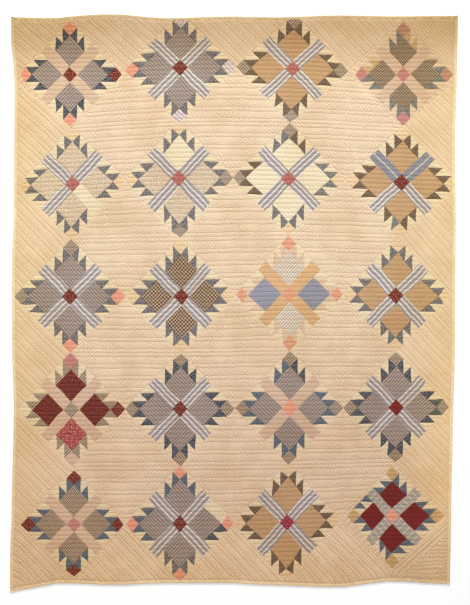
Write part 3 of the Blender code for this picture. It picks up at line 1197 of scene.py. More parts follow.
@dataclass(frozen=True)
class Layout:
    """Carries pattern space onto the quilt, through the middles of the blocks and out to its edges."""

    outline: Outline
    sway: float = 0.0010

    def _grid(self) -> Array:
        """The middles of the blocks' squares as rows, columns, x and y."""
        grid = np.zeros((BLOCKS_DOWN, BLOCKS_ACROSS, 2))
        for chart in CHART:
            grid[chart.row, chart.column] = (chart.x + chart.seat[0], chart.y + chart.seat[1])
        return grid

    def bulged(self, u: Array, v: Array) -> tuple[Array, Array]:
        """How far the paws' own bulges move each point.

        From a block's middle (0) to its tip (1) the bulge rises to all of it at 0.76 and falls to nothing
        at the tip. Sideways it fades to nothing 0.62 from the paw's axis.

        Args:
            u: Block diagonals from the left tips.
            v: Block diagonals down from the top tips.

        Returns:
            Moves along x and y, in metres.
        """
        bulges = np.zeros((BLOCKS_DOWN, BLOCKS_ACROSS, 4))
        for chart in CHART:
            bulges[chart.row, chart.column] = chart.bulge
        column = np.clip(np.floor(u), 0, BLOCKS_ACROSS - 1).astype(int)
        row = np.clip(np.floor(v), 0, BLOCKS_DOWN - 1).astype(int)
        left, right, up, down = np.moveaxis(bulges[row, column], -1, 0) * 0.001
        a, b = 2.0 * (u - column) - 1.0, 2.0 * (v - row) - 1.0

        def share(out: Array, aside: Array) -> Array:
            """The part of a bulge that reaches a place this far out and this far aside."""
            rise, fall = ease(np.abs(out) / 0.76), ease((1.0 - np.abs(out)) / 0.24)
            return np.minimum(rise, fall) * (1.0 - ease(np.abs(aside) / 0.62))

        across = share(a, b) * np.where(a > 0.0, right, -left)
        upward = share(b, a) * np.where(b > 0.0, -down, up)
        return across, upward

    def swayed(self, u: Array, v: Array) -> tuple[Array, Array]:
        """How far seams that were sewn by eye stray: three sines each way, and the paws' bulges."""
        bulge_x, bulge_y = self.bulged(u, v)
        across = (
            np.sin(21.0 * u + 13.0 * v + 0.7)
            + 0.6 * np.sin(44.0 * v - 9.0 * u + 2.1)
            + 0.5 * np.sin(37.0 * u - 31.0 * v)
        )
        up = (
            np.sin(19.0 * v - 15.0 * u + 1.9)
            + 0.6 * np.sin(41.0 * u + 12.0 * v + 0.4)
            + 0.5 * np.sin(33.0 * v + 35.0 * u + 3.0)
        )
        return self.sway * across + bulge_x, self.sway * up + bulge_y

    def place(self, u: Array, v: Array) -> tuple[Array, Array]:
        """Where points of the pattern lie on the quilt.

        Inside the tips the place is the smooth surface through the blocks' middles, with a sway of a few
        sines for seams that were sewn by eye. From the tips outward it runs straight to the outline.
        Nothing passes the outline, or comes nearer to it than a tenth of its way in on the pattern, so
        that cells which are crowded there keep their order.

        Args:
            u: Block diagonals from the left tips.
            v: Block diagonals down from the top tips.

        Returns:
            x and y, in metres.
        """
        inner_u = np.clip(u, 0.0, BLOCKS_ACROSS)
        inner_v = np.clip(v, 0.0, BLOCKS_DOWN)
        across = curve_weights(inner_u - 0.5, BLOCKS_ACROSS)
        down = curve_weights(inner_v - 0.5, BLOCKS_DOWN)
        x, y = np.moveaxis(np.einsum("...r,...c,rcd->...d", down, across, self._grid()), -1, 0)
        sway_x, sway_y = self.swayed(u, v)
        x, y = x + sway_x, y + sway_y
        tip_x, tip_y = x, y
        share_left = np.clip(-u, 0.0, MARGIN) / MARGIN
        share_right = np.clip(u - BLOCKS_ACROSS, 0.0, MARGIN) / MARGIN
        share_top = np.clip(-v, 0.0, MARGIN) / MARGIN
        share_bottom = np.clip(v - BLOCKS_DOWN, 0.0, MARGIN) / MARGIN
        least = LEAST_SPREAD * DIAGONAL
        from_left, from_right = least * (u + MARGIN), least * (BLOCKS_ACROSS + MARGIN - u)
        from_top, from_bottom = least * (v + MARGIN), least * (BLOCKS_DOWN + MARGIN - v)
        for _ in range(3):
            low_x, high_x, low_y, high_y = self.outline.limits(x, y, EDGE_INSET)
            x = tip_x + share_left * (low_x - tip_x) + share_right * (high_x - tip_x)
            y = tip_y + share_top * (high_y - tip_y) + share_bottom * (low_y - tip_y)
            x = np.clip(x, low_x + from_left.clip(0.0), high_x - from_right.clip(0.0))
            y = np.clip(y, low_y + from_bottom.clip(0.0), high_y - from_top.clip(0.0))
        return x, y

    def from_edge(self, x: Array, y: Array) -> Array:
        """How far in from the outline each point lies."""
        low_x, high_x, low_y, high_y = self.outline.limits(x, y, 0.0)
        return np.minimum.reduce([x - low_x, high_x - x, y - low_y, high_y - y])


# ---- quilting and height


class PairedRows(NamedTuple):
    """Rows quilted in pairs: the first one's distance from a seam, the gap in a pair, the pitch."""

    first: float
    gap: float
    pitch: float

    def phase(self, distance: Array) -> Array:
        """A number that is whole on every row, and runs evenly from each row to the next."""
        turns = (distance - self.first) / self.pitch
        whole = np.floor(turns)
        rest = (turns - whole) * self.pitch
        wide = self.pitch - self.gap
        part = np.where(rest < self.gap, rest / self.gap, 1.0 + (rest - self.gap) / wide)
        return 2.0 * whole + part


class FoldLine(NamedTuple):
    """A soft fold line down the quilt: where it lies, where it starts and its depth."""

    x: float
    from_y: float
    depth: float


@dataclass(frozen=True)
class Quilting:
    """The quilting of the top, and the height that it gives the cloth."""

    seam_height: float = 0.0042
    row_height: float = 0.0042
    crest_height: float = 0.0052
    under_binding: float = 0.0035
    seam_width: float = 0.0022
    patch_dip: float = 0.0004
    block_pitch: float = 0.0175
    field_rows: tuple[float, ...] = (
        0.0, 0.0147, 0.0438, 0.0585, 0.0895, 0.1045, 0.1340, 0.1495, 0.1780, 0.1940, 0.2225,
    )  # fmt: skip
    fold_lines: tuple[FoldLine, ...] = (
        FoldLine(-0.004, -0.02, 0.0011),
        FoldLine(0.450, -0.12, 0.0007),
    )
    fold_width: float = 0.0075
    fold_fade: float = 0.15
    bare_spot: tuple[float, float] = (0.086, 0.244)
    bare_size: tuple[float, float] = (0.020, 0.080)

    def field_phase(self, up: Array) -> Array:
        """Level rows of a plain square: three close together on its middle line, then pairs."""
        return np.sign(up) * np.interp(np.abs(up), self.field_rows, range(len(self.field_rows)))

    def block_phase(self, up: Array) -> Array:
        """Level rows of a block, evenly spaced from its middle."""
        return up / self.block_pitch + 0.5

    @staticmethod
    def wander(u: Array, v: Array) -> Array:
        """How far rows stray from their even places, as a share of a row: three slow sines."""
        return (
            0.030 * np.sin(13.0 * u + 5.0 * v)
            + 0.020 * np.sin(29.0 * u - 8.0 * v + 1.0)
            + 0.012 * np.sin(61.0 * u + 3.0 * v + 2.0)
        )

    def height(self, x: Array, y: Array, phase: Array, seam: Array, edge: Array) -> Array:
        """Height of the quilted cloth.

        Between two rows it is a pillow, a half sine to the power 0.7, and it dips to the seam height
        within a few millimetres of a seam. Fold creases are soft troughs, and one patch lies flat.

        Args:
            x: Places across the quilt.
            y: Places up the quilt.
            phase: Whole on every row.
            seam: Distance from the piece's own outer seams.
            edge: Distance in from the quilt's outline.

        Returns:
            Heights above the surface that the quilt lies on.
        """
        pillow = np.abs(np.sin(math.pi * phase)) ** 0.7
        swell = 1.0 + 0.10 * np.sin(23.0 * x + 9.0 * y) + 0.08 * np.sin(14.0 * y - 31.0 * x + 1.3)
        away_x = (x - self.bare_spot[0]) / self.bare_size[0]
        away_y = (y - self.bare_spot[1]) / self.bare_size[1]
        bare = np.exp(-(away_x**2) - away_y**2)
        rise = (self.crest_height - self.row_height) * pillow * swell * (1.0 - 0.75 * bare)
        z = self.row_height + rise
        near_seam = 1.0 - np.exp(-((seam / self.seam_width) ** 2))
        z = self.seam_height + (z - self.seam_height) * near_seam
        z = z - self.crease(x, y)
        inside = ease((edge - 0.0098) / 0.011)
        return self.under_binding + (z - self.under_binding) * inside

    def crease(self, x: Array, y: Array) -> Array:
        """Depth of the fold lines: bell-shaped troughs that deepen from where each starts."""
        return sum(
            line.depth
            * np.exp(-(((x - line.x) / self.fold_width) ** 2))
            * ease((line.from_y - y) / self.fold_fade)
            for line in self.fold_lines
        )


# ---- pieces of the top


class EdgeKind(Enum):
    """What a piece meets on one side of its grid."""

    SEAM = "a seam with the next piece, its allowance turned under"
    OPEN = "the quilt's edge"


class GridSides(NamedTuple):
    """How the four sides of a piece's grid end."""

    p_low: EdgeKind = EdgeKind.SEAM
    p_high: EdgeKind = EdgeKind.SEAM
    q_low: EdgeKind = EdgeKind.SEAM
    q_high: EdgeKind = EdgeKind.SEAM


class GridLines(NamedTuple):
    """The lines of a grid: where they lie in the piece, and on the block's own draft."""

    place: Array
    draft: Array


def write_mesh(name: str, points: Array, triangles: Array) -> bpy.types.Mesh:
    """A mesh from arrays of points and triangles, smooth throughout.

    Args:
        name: The mesh's name.
        points: Corners, one a row.
        triangles: Three corner numbers a row.

    Returns:
        The mesh.
    """
    mesh = bpy.data.meshes.new(name)
    mesh.vertices.add(len(points))
    mesh.vertices.foreach_set("co", np.ascontiguousarray(points, dtype=np.float32).ravel())
    mesh.loops.add(triangles.size)
    mesh.loops.foreach_set("vertex_index", np.ascontiguousarray(triangles, dtype=np.int32).ravel())
    mesh.polygons.add(len(triangles))
    starts = np.arange(0, triangles.size, 3, dtype=np.int32)
    mesh.polygons.foreach_set("loop_start", starts)
    mesh.polygons.foreach_set("use_smooth", np.ones(len(triangles), dtype=bool))
    mesh.update(calc_edges=True)
    mesh.validate()
    return mesh


def quads(a: Array, b: Array, c: Array, d: Array) -> Array:
    """Four-cornered cells as triangles, each cut from its first corner to its third."""
    halves = [np.stack([a, b, c], -1).reshape(-1, 3), np.stack([a, c, d], -1).reshape(-1, 3)]
    return np.concatenate(halves)


def write_uv(mesh: bpy.types.Mesh, name: str, values: Array) -> None:
    """Puts one pair of numbers a face corner into a new UV map."""
    layer = mesh.uv_layers.new(name=name)
    layer.data.foreach_set("uv", np.ascontiguousarray(values, dtype=np.float32).ravel())


def link(mesh: bpy.types.Mesh) -> bpy.types.Object:
    """The scene object of a mesh, at the origin."""
    made = bpy.data.objects.new(mesh.name, mesh)
    bpy.context.scene.collection.objects.link(made)
    return made


@dataclass
class TopPiece:
    """A piece of the pieced top: a square set on point, or what the quilt's edge leaves of one."""

    name: str
    layout: Layout
    quilting: Quilting
    groups: ClothGroups
    middle_u: float
    middle_v: float
    sides: GridSides = GridSides()
    scale: float = 1.0
    allowance: float = 0.0095
    turn_down: float = 0.0008
    tuck_depth: float = 0.0011

    def lines(self, low: EdgeKind, high: EdgeKind) -> GridLines:
        """The grid lines along one axis: the draft's, a ground margin where it is small, and the ends.

        Args:
            low: How the axis ends below.
            high: How it ends above.

        Returns:
            The lines, in patch units.
        """
        core = np.linspace(-HALF_SIDE, HALF_SIDE, 7 * STEPS + 1) * self.scale
        margin = np.array([])
        if self.scale < 1.0:
            middle = HALF_SIDE * (1.0 + self.scale) / 2.0
            margin = np.array([middle, HALF_SIDE])
        turned = HALF_SIDE + np.array([self.turn_down, self.allowance]) / UNIT
        opened = HALF_SIDE + np.arange(1, MARGIN_STEPS // 2 + 1) / STEPS
        before = -(turned if low is EdgeKind.SEAM else opened)[::-1]
        after = turned if high is EdgeKind.SEAM else opened
        place = np.concatenate([before, -margin[::-1], core, margin, after])
        return GridLines(place, place / self.scale)

    def surface(self) -> tuple[GridLines, GridLines, Array, Array]:
        """The piece's grid lines and, on their crossings, u and v."""
        along_p = self.lines(self.sides.p_low, self.sides.p_high)
        along_q = self.lines(self.sides.q_low, self.sides.q_high)
        p, q = np.meshgrid(along_p.place, along_q.place, indexing="ij")
        return along_p, along_q, self.middle_u + (p + q) / 14.0, self.middle_v + (p - q) / 14.0

    def placed(self, p: Array, q: Array, u: Array, v: Array) -> tuple[Array, Array]:
        """Where the grid's crossings lie on the quilt."""
        return self.layout.place(u, v)

    def phase(self, p: Array, q: Array) -> tuple[Array, Array]:
        """Distance along the quilting rows and the number that is whole on them; each kind of piece gives
        its own.
        """
        raise NotImplementedError

    def patch_seams(self, p: Array, q: Array) -> Array:
        """Distance to the nearest seam inside the piece, in metres; far away where it has none."""
        return np.full_like(p, 1.0)

    def level_split(self, p: Array, q: Array) -> Array:
        """True for cells that are cut into triangles along a level line of the quilt."""
        return np.ones_like(p, dtype=bool)

    def kept(self, p: Array, q: Array, u: Array, v: Array) -> Array:
        """True for triangles, by their middles, that belong to the piece."""
        return np.ones_like(p, dtype=bool)

    def cloths(self) -> list[Cloth]:
        """The cloth of each patch code."""
        raise NotImplementedError

    def patches(self, p: Array, q: Array) -> Array:
        """The patch code of each triangle, from its middle on the draft."""
        return np.zeros(p.shape, dtype=int)

    def grain(self, p: Array, q: Array, patch: Array) -> Array:
        """Grain vector of face corners, in metres: x across a patch's lines and y along them."""
        return np.stack([(q - p), (p + q)], axis=-1) * UNIT / math.sqrt(2.0)

    def build(self) -> bpy.types.Object:
        """Makes the piece's mesh, its UV maps and its object.

        Every crossing of the grid goes through the layout, and its height is the quilting's. The rows
        of quilting run straight on where the seams stray. Cells are cut in two along the diagonal that
        the patch needs. Beyond a seam the cloth turns down under its neighbour.

        Returns:
            The piece.
        """
        along_p, along_q, u, v = self.surface()
        p, q = np.meshgrid(along_p.place, along_q.place, indexing="ij")
        draft_p, draft_q = np.meshgrid(along_p.draft, along_q.draft, indexing="ij")
        x, y = self.placed(p, q, u, v)
        edge = self.layout.from_edge(x, y)
        stray_x, stray_y = self.layout.swayed(u, v)
        side = math.sqrt(2.0) * UNIT
        rows_along, rows_phase = self.phase(
            p + (stray_x - stray_y) / side, q + (stray_x + stray_y) / side
        )
        rows_phase = rows_phase + self.quilting.wander(u, v)
        beyond, within = self._seam_reach(p, q)
        z = self.quilting.height(x, y, rows_phase, within * UNIT, edge)
        dip = self.quilting.patch_dip * np.exp(-((self.patch_seams(draft_p, draft_q) / 0.0028) ** 2))
        z = z - dip * ease((edge - 0.010) / 0.010) * ease(within * UNIT / 0.006)
        z = z - self.tuck_depth * (1.0 - np.exp(-((beyond * UNIT / 0.0028) ** 2)))
        points = np.stack([x, y, z], axis=-1).reshape(-1, 3)

        rows, columns = p.shape
        number = np.arange(rows * columns).reshape(rows, columns)
        c00, c10 = number[:-1, :-1], number[1:, :-1]
        c11, c01 = number[1:, 1:], number[:-1, 1:]
        middle_p = (draft_p[:-1, :-1] + draft_p[1:, 1:]) / 2.0
        middle_q = (draft_q[:-1, :-1] + draft_q[1:, 1:]) / 2.0
        level = self.level_split(middle_p, middle_q)[..., None]
        first = np.where(level, np.stack([c00, c10, c11], -1), np.stack([c00, c10, c01], -1))
        second = np.where(level, np.stack([c00, c11, c01], -1), np.stack([c10, c11, c01], -1))
        triangles = np.stack([first, second], axis=-2).reshape(-1, 3)

        def middles(values: Array) -> Array:
            """The mean of a grid's values over each triangle."""
            return values.reshape(-1)[triangles].mean(axis=1)

        keep = self.kept(middles(p), middles(q), middles(u), middles(v))
        triangles = triangles[keep]
        patch = self.patches(middles(draft_p), middles(draft_q))
        used, triangles = np.unique(triangles, return_inverse=True)
        triangles = triangles.reshape(-1, 3)
        mesh = write_mesh(self.name, points[used], triangles)
        corner = used[triangles]
        corner_patch = np.repeat(patch[:, None], 3, axis=1)
        grain = self.grain(draft_p.ravel()[corner], draft_q.ravel()[corner], corner_patch)
        write_uv(mesh, "grain", grain)
        rows_uv = np.stack([rows_along, rows_phase], axis=-1).reshape(-1, 2)
        write_uv(mesh, "stitch", rows_uv[corner])
        self._dress(mesh, patch)
        made = link(mesh)
        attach(made, "root")
        return made

    def _seam_reach(self, p: Array, q: Array) -> tuple[Array, Array]:
        """How far each point lies beyond the piece's seams, and how far within them, in patch units."""
        gaps = [
            HALF_SIDE + p if self.sides.p_low is EdgeKind.SEAM else np.full_like(p, 9.0),
            HALF_SIDE - p if self.sides.p_high is EdgeKind.SEAM else np.full_like(p, 9.0),
            HALF_SIDE + q if self.sides.q_low is EdgeKind.SEAM else np.full_like(p, 9.0),
            HALF_SIDE - q if self.sides.q_high is EdgeKind.SEAM else np.full_like(p, 9.0),
        ]
        nearest = np.minimum.reduce(gaps)
        return np.maximum(-nearest, 0.0), np.maximum(nearest, 0.0)

    def _dress(self, mesh: bpy.types.Mesh, patch: Array) -> None:
        """Gives each triangle the material of its patch's cloth."""
        cloths = self.cloths()
        used = list(dict.fromkeys(cloths[code] for code in np.unique(patch)))
        for cloth in used:
            mesh.materials.append(cloth.value.material(self.groups))
        slot_of_code = np.array([used.index(c) if c in used else 0 for c in cloths])
        mesh.polygons.foreach_set("material_index", slot_of_code[patch].astype(np.int32))
        mesh.update()


@dataclass
class PlainSquare(TopPiece):
    """A plain square between four blocks, quilted in level rows."""

    def phase(self, p: Array, q: Array) -> tuple[Array, Array]:
        """Level rows: along them is x, and across them y, from the square's middle."""
        up = (q - p) * UNIT / math.sqrt(2.0)
        return (p + q) * UNIT / math.sqrt(2.0), self.quilting.field_phase(up)

    def cloths(self) -> list[Cloth]:
        """The ground alone."""
        return [Cloth.GROUND]


@dataclass
class EdgePiece(TopPiece):
    """A half square or corner piece, quilted in slanted pairs of rows and cut off at the outline."""

    rows: PairedRows = PairedRows(0.026, 0.0148, 0.0443)
    from_high: bool = True
    cloth: Cloth = Cloth.GROUND
    rising_to: float = 0.0
    level_pitch: float = 0.0150
    margin_stretch: float = 1.4
    spread: float = 0.08

    def phase(self, p: Array, q: Array) -> tuple[Array, Array]:
        """Falling rows, counted from a seam that runs the same way, or rising ones by a seam.

        Where rising_to is set, the rows rise as far as that from the seam, and leave it by a share of the
        way along it. Beyond they are level, and two sines make them wavy. The margin past the tips is
        stretched, so there they lie closer.

        Args:
            p: Patch units towards the lower right.
            q: Patch units towards the upper right.

        Returns:
            Distances along the rows, and the number that is whole on each row.
        """
        if self.rising_to > 0.0:
            seam = (HALF_SIDE + p - self.spread * (HALF_SIDE + q)) * UNIT
            side = UNIT / math.sqrt(2.0)
            margin = np.clip(self.middle_v + (p - q) / 14.0 - BLOCKS_DOWN, 0.0, None) * DIAGONAL
            level = ((q - p) * side - self.margin_stretch * margin) / self.level_pitch
            level = level + 0.20 * np.sin(5.3 * p) * np.sin(4.1 * q)
            near = seam < self.rising_to
            return (
                np.where(near, q * UNIT, (p + q) * side),
                np.where(near, self.rows.phase(seam), level),
            )
        distance = (HALF_SIDE - q if self.from_high else HALF_SIDE + q) * UNIT
        return p * UNIT, self.rows.phase(distance)

    def level_split(self, p: Array, q: Array) -> Array:
        """Cells are cut upright where they lie on an upright edge of the quilt, and else level."""
        u = self.middle_u + (p + q) / 14.0
        reach = 0.6 / (7.0 * STEPS)
        near_left = np.abs(u + MARGIN) < reach
        near_right = np.abs(u - BLOCKS_ACROSS - MARGIN) < reach
        return ~(near_left | near_right)

    def kept(self, p: Array, q: Array, u: Array, v: Array) -> Array:
        """Inside the quilt's edge, and in the square or in its own strip beyond the tips."""
        in_quilt = (u > -MARGIN) & (u < BLOCKS_ACROSS + MARGIN)
        in_quilt &= (v > -MARGIN) & (v < BLOCKS_DOWN + MARGIN)
        in_square = (np.abs(p) < HALF_SIDE) & (np.abs(q) < HALF_SIDE)
        past_tips = (u < 0) | (u > BLOCKS_ACROSS) | (v < 0) | (v > BLOCKS_DOWN)
        own_strip = (np.abs(u - self.middle_u) < 0.5) & (np.abs(v - self.middle_v) < 0.5)
        beyond, _ = self._seam_reach(p, q)
        turned = (beyond > 0) & (np.maximum(np.abs(p), np.abs(q)) < HALF_SIDE + 0.2)
        return in_quilt & (in_square | (past_tips & own_strip) | turned)

    def cloths(self) -> list[Cloth]:
        """The piece's own ground."""
        return [self.cloth]


@dataclass
class BearPawBlock(TopPiece):
    """A bear paw block: four paws of a pad, four claws and a corner square, parted by four sashes.

    Patch codes: 0 ground margin, 1 claw ground, 2 to 5 pads, 6 to 21 claws, 22 to 25 corners, 26 to 29
    sashes, 30 centre.
    """

    chart: BlockChart | None = None

    def placed(self, p: Array, q: Array, u: Array, v: Array) -> tuple[Array, Array]:
        """Where the grid lies: by the layout, but a small block's patches by its own reach.

        From the draft's edge to the block's seam the place runs evenly from the one to the other.

        Args:
            p: Patch units towards the lower right.
            q: Patch units towards the upper right.
            u: The same points across the pattern.
            v: The same points down the pattern.

        Returns:
            x and y, in metres.
        """
        x, y = self.layout.place(u, v)
        reach = self.chart.reach
        if reach is None:
            return x, y
        across = (p + q) * UNIT / (math.sqrt(2.0) * self.scale)
        up = (q - p) * UNIT / (math.sqrt(2.0) * self.scale)
        sway_x, sway_y = self.layout.swayed(u, v)
        own_x = self.chart.x + sway_x + across * np.where(across > 0.0, reach.right, reach.left)
        own_y = self.chart.y + sway_y + up * np.where(up > 0.0, reach.up, reach.down)
        far = np.maximum(np.abs(p), np.abs(q))
        share = np.clip((far / HALF_SIDE - self.scale) / (1.0 - self.scale), 0.0, 1.0)
        return own_x + share * (x - own_x), own_y + share * (y - own_y)

    def phase(self, p: Array, q: Array) -> tuple[Array, Array]:
        """Level rows: along them is x, and across them y, from the block's middle."""
        up = (q - p) * UNIT / math.sqrt(2.0)
        return (p + q) * UNIT / math.sqrt(2.0), self.quilting.block_phase(up)

    @staticmethod
    def _paw(p: Array, q: Array) -> Array:
        """The paw that a point lies in: 0 top, 1 right, 2 bottom, 3 left."""
        return np.select([(p < 0) & (q > 0), (p > 0) & (q > 0), (p > 0) & (q < 0)], [0, 1, 2], 3)

    @staticmethod
    def _reach(p: Array, q: Array) -> tuple[Array, Array]:
        """How far a point lies out from the sashes along p and along q, in patch units."""
        inside = HALF_SIDE - 1e-6
        held_p, held_q = np.clip(p, -inside, inside), np.clip(q, -inside, inside)
        return np.abs(held_p) - 0.5, np.abs(held_q) - 0.5

    def _claw_side(self, p: Array, q: Array) -> tuple[Array, Array]:
        """The claw side that a point lies on, 0 to 7, and True where that side is out along p."""
        out_p, out_q = self._reach(p, q)
        paw = self._paw(p, q)
        along_p = out_p >= out_q
        first_is_p = (paw == 0) | (paw == 3)
        return paw * 2 + np.where(along_p == first_is_p, 0, 1), along_p

    def _turned(self, side: Array, turn: Turn) -> Array:
        """True on the claw sides that the chart turns this way."""
        sides = [key for key, value in self.chart.turns.items() if value is turn]
        return np.isin(side, sides)

    def patches(self, p: Array, q: Array) -> Array:
        """The patch code of each triangle, found from its place on the draft of 7 by 7 units."""
        out_p, out_q = self._reach(p, q)
        paw = self._paw(p, q)
        side, along_p = self._claw_side(p, q)
        part_p, part_q = out_p % 1.0, out_q % 1.0
        near, far = np.where(along_p, part_p, part_q), np.where(along_p, part_q, part_p)
        dark = near < far
        dark = np.where(self._turned(side, Turn.MIRRORED), near > far, dark)
        dark = np.where(self._turned(side, Turn.INWARD), near + far < 1.0, dark)
        outer = np.floor(np.where(along_p, out_q, out_p)).clip(0, 1).astype(int)
        claw = np.where(dark, 6 + side * 2 + outer, 1)
        ways = [(out_p < 0) & (q > 0), (out_q < 0) & (p > 0), (out_p < 0) & (q < 0)]
        sash = np.select(ways, [0, 1, 2], 3)
        code = np.select(
            [
                (out_p < 0) & (out_q < 0),
                (out_p < 0) | (out_q < 0),
                (out_p < 2) & (out_q < 2),
                (out_p > 2) & (out_q > 2),
            ],
            [np.full(p.shape, 30), 26 + sash, 2 + paw, 22 + paw],
            claw,
        )
        if self.scale < 1.0:
            code = np.where(np.maximum(np.abs(p), np.abs(q)) > HALF_SIDE, 0, code)
        return code

    def level_split(self, p: Array, q: Array) -> Array:
        """Claw squares are cut along their own seam, level in the side paws and upright in the others."""
        out_p, out_q = self._reach(p, q)
        in_claw = (np.minimum(out_p, out_q) > 0) & (np.maximum(out_p, out_q) > 2)
        in_claw &= np.minimum(out_p, out_q) < 2
        paw = self._paw(p, q)
        side, _ = self._claw_side(p, q)
        level = (paw == 1) | (paw == 3)
        level = np.where(self._turned(side, Turn.INWARD), ~level, level)
        return np.where(in_claw, level, True)

    def patch_seams(self, p: Array, q: Array) -> Array:
        """Distance to the nearest seam of the draft: sash lines, pads, claws and the claws' slants."""
        out_p, out_q = self._reach(p, q)
        far, near = np.maximum(out_p, out_q), np.minimum(out_p, out_q)
        lines = np.minimum(np.abs(out_p), np.abs(out_q))
        in_paw = near > 0
        lines = np.where(in_paw, np.minimum(lines, np.abs(far - 2.0)), lines)
        lines = np.where(in_paw & (far > 2.0), np.minimum(lines, np.abs(near - 2.0)), lines)
        in_claw = in_paw & (far > 2.0) & (near < 2.0)
        side, _ = self._claw_side(p, q)
        part_p, part_q = out_p % 1.0, out_q % 1.0
        slant = np.where(
            self._turned(side, Turn.INWARD), np.abs(part_p + part_q - 1.0), np.abs(part_p - part_q)
        ) / math.sqrt(2.0)
        claw_lines = np.minimum(np.abs(near - 1.0), slant)
        lines = np.where(in_claw, np.minimum(lines, claw_lines), lines)
        if self.scale < 1.0:
            rim = np.abs(HALF_SIDE - np.maximum(np.abs(p), np.abs(q)))
            lines = np.minimum(lines, rim)
        return lines * UNIT

    def cloths(self) -> list[Cloth]:
        """The cloth of each patch code, from the chart."""
        chart = self.chart
        paws = [cloth for paw in chart.claws for cloth in paw]
        return [
            Cloth.GROUND, chart.ground, *chart.pads, *paws, *chart.corners, *chart.sashes,
            chart.centre,
        ]  # fmt: skip

    def grain(self, p: Array, q: Array, patch: Array) -> Array:
        """Grain vectors: each patch's lines run the way the chart says, and sashes' along the sash.

        Falling lines keep q, rising lines keep p, and level ones keep the height on the quilt. In a sash
        the light lines are moved by the millimetres of the chart.
        """
        level = np.stack([(q - p), (p + q)], axis=-1) / math.sqrt(2.0)
        falling = np.stack([q, p], axis=-1)
        rising = np.stack([p, q], axis=-1)
        ways = [Grain.RISING] * 31
        for paw, letter in enumerate(self.chart.grains):
            is_check = self.chart.pads[paw].value.pattern is Pattern.CHECK
            ways[2 + paw] = Grain.RISING if is_check else Grain(letter)
            ways[22 + paw] = Grain.FALLING if paw in (1, 2) else Grain.RISING
        ways[26:30] = [Grain.RISING, Grain.FALLING, Grain.RISING, Grain.FALLING]
        index = {Grain.LEVEL: 0, Grain.FALLING: 1, Grain.RISING: 2}
        way = np.array([index[w] for w in ways])[patch][..., None]
        grain = np.where(way == 0, level, np.where(way == 1, falling, rising)) * UNIT * self.scale
        moved = np.zeros(31)
        moved[:26] = 0.0137 * np.arange(26)
        moved[26:30] = -0.001 * np.array(self.chart.sash_lines_at)
        grain[..., 0] += moved[patch]
        grain[..., 1] += 0.0211 * patch + 0.061 * self.chart.column
        return grain


# ---- the body and the binding


@dataclass
class QuiltBody:
    """The backing and the filling under the pieced top, one closed sheet that the top pieces lie on."""

    layout: Layout
    quilting: Quilting
    groups: ClothGroups
    top_height: float = 0.0019
    rim_low: float = 0.0013
    dimple: float = 0.0007
    across: int = 84
    down: int = 300

    def build(self) -> bpy.types.Object:
        """Two grids over the pattern, for the back and for the top of the filling, sewn at the rim.

        The back rests on the surface and is drawn up by the dimple's depth on every quilting row.

        Returns:
            The body.
        """
        u_line = np.linspace(-MARGIN, BLOCKS_ACROSS + MARGIN, self.across + 1)
        v_line = np.linspace(-MARGIN, BLOCKS_DOWN + MARGIN, self.down + 1)
        u, v = np.meshgrid(u_line, v_line, indexing="ij")
        x, y = self.layout.place(u, v)
        edge = self.layout.from_edge(x, y)
        up = -(v - np.round(v)) * DIAGONAL
        phase = self.quilting.field_phase(up) + self.quilting.wander(u, v)
        pull = np.exp(-((np.abs(phase - np.round(phase)) / 0.14) ** 2))
        inside = ease((edge - 0.010) / 0.012)
        low = self.rim_low + (self.dimple * pull - self.rim_low) * inside
        high = np.full_like(low, self.top_height)
        count = u.size
        number = np.arange(count).reshape(u.shape)
        a, b = number[:-1, :-1].ravel(), number[:-1, 1:].ravel()
        c, d = number[1:, 1:].ravel(), number[1:, :-1].ravel()
        back = quads(a, d, c, b)[:, ::-1]
        front = back[:, ::-1] + count
        rim = np.concatenate([number[:-1, 0], number[-1, :-1], number[:0:-1, -1], number[0, :0:-1]])
        after = np.roll(rim, -1)
        walls = quads(after, rim, rim + count, after + count)
        triangles = np.concatenate([front, back, walls])
        points = np.concatenate(
            [np.stack([x, y, low], -1).reshape(-1, 3), np.stack([x, y, high], -1).reshape(-1, 3)]
        )
        span = points[front[0]]
        if np.cross(span[1] - span[0], span[2] - span[0])[2] < 0.0:
            triangles = triangles[:, ::-1]
        mesh = write_mesh("quilt_backing_and_filling", points, triangles)
        corner = triangles.ravel() % count
        write_uv(mesh, "grain", np.stack([x.ravel(), y.ravel()], -1)[corner])
        write_uv(mesh, "stitch", np.stack([x.ravel(), phase.ravel()], -1)[corner])
        mesh.materials.append(Cloth.BACKING.value.material(self.groups))
        made = link(mesh)
        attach(made, "root")
        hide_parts("quilt")
        return made


class Side(Enum):
    """The quilt's four sides."""

    LEFT = "left"
    RIGHT = "right"
    TOP = "top"
    BOTTOM = "bottom"


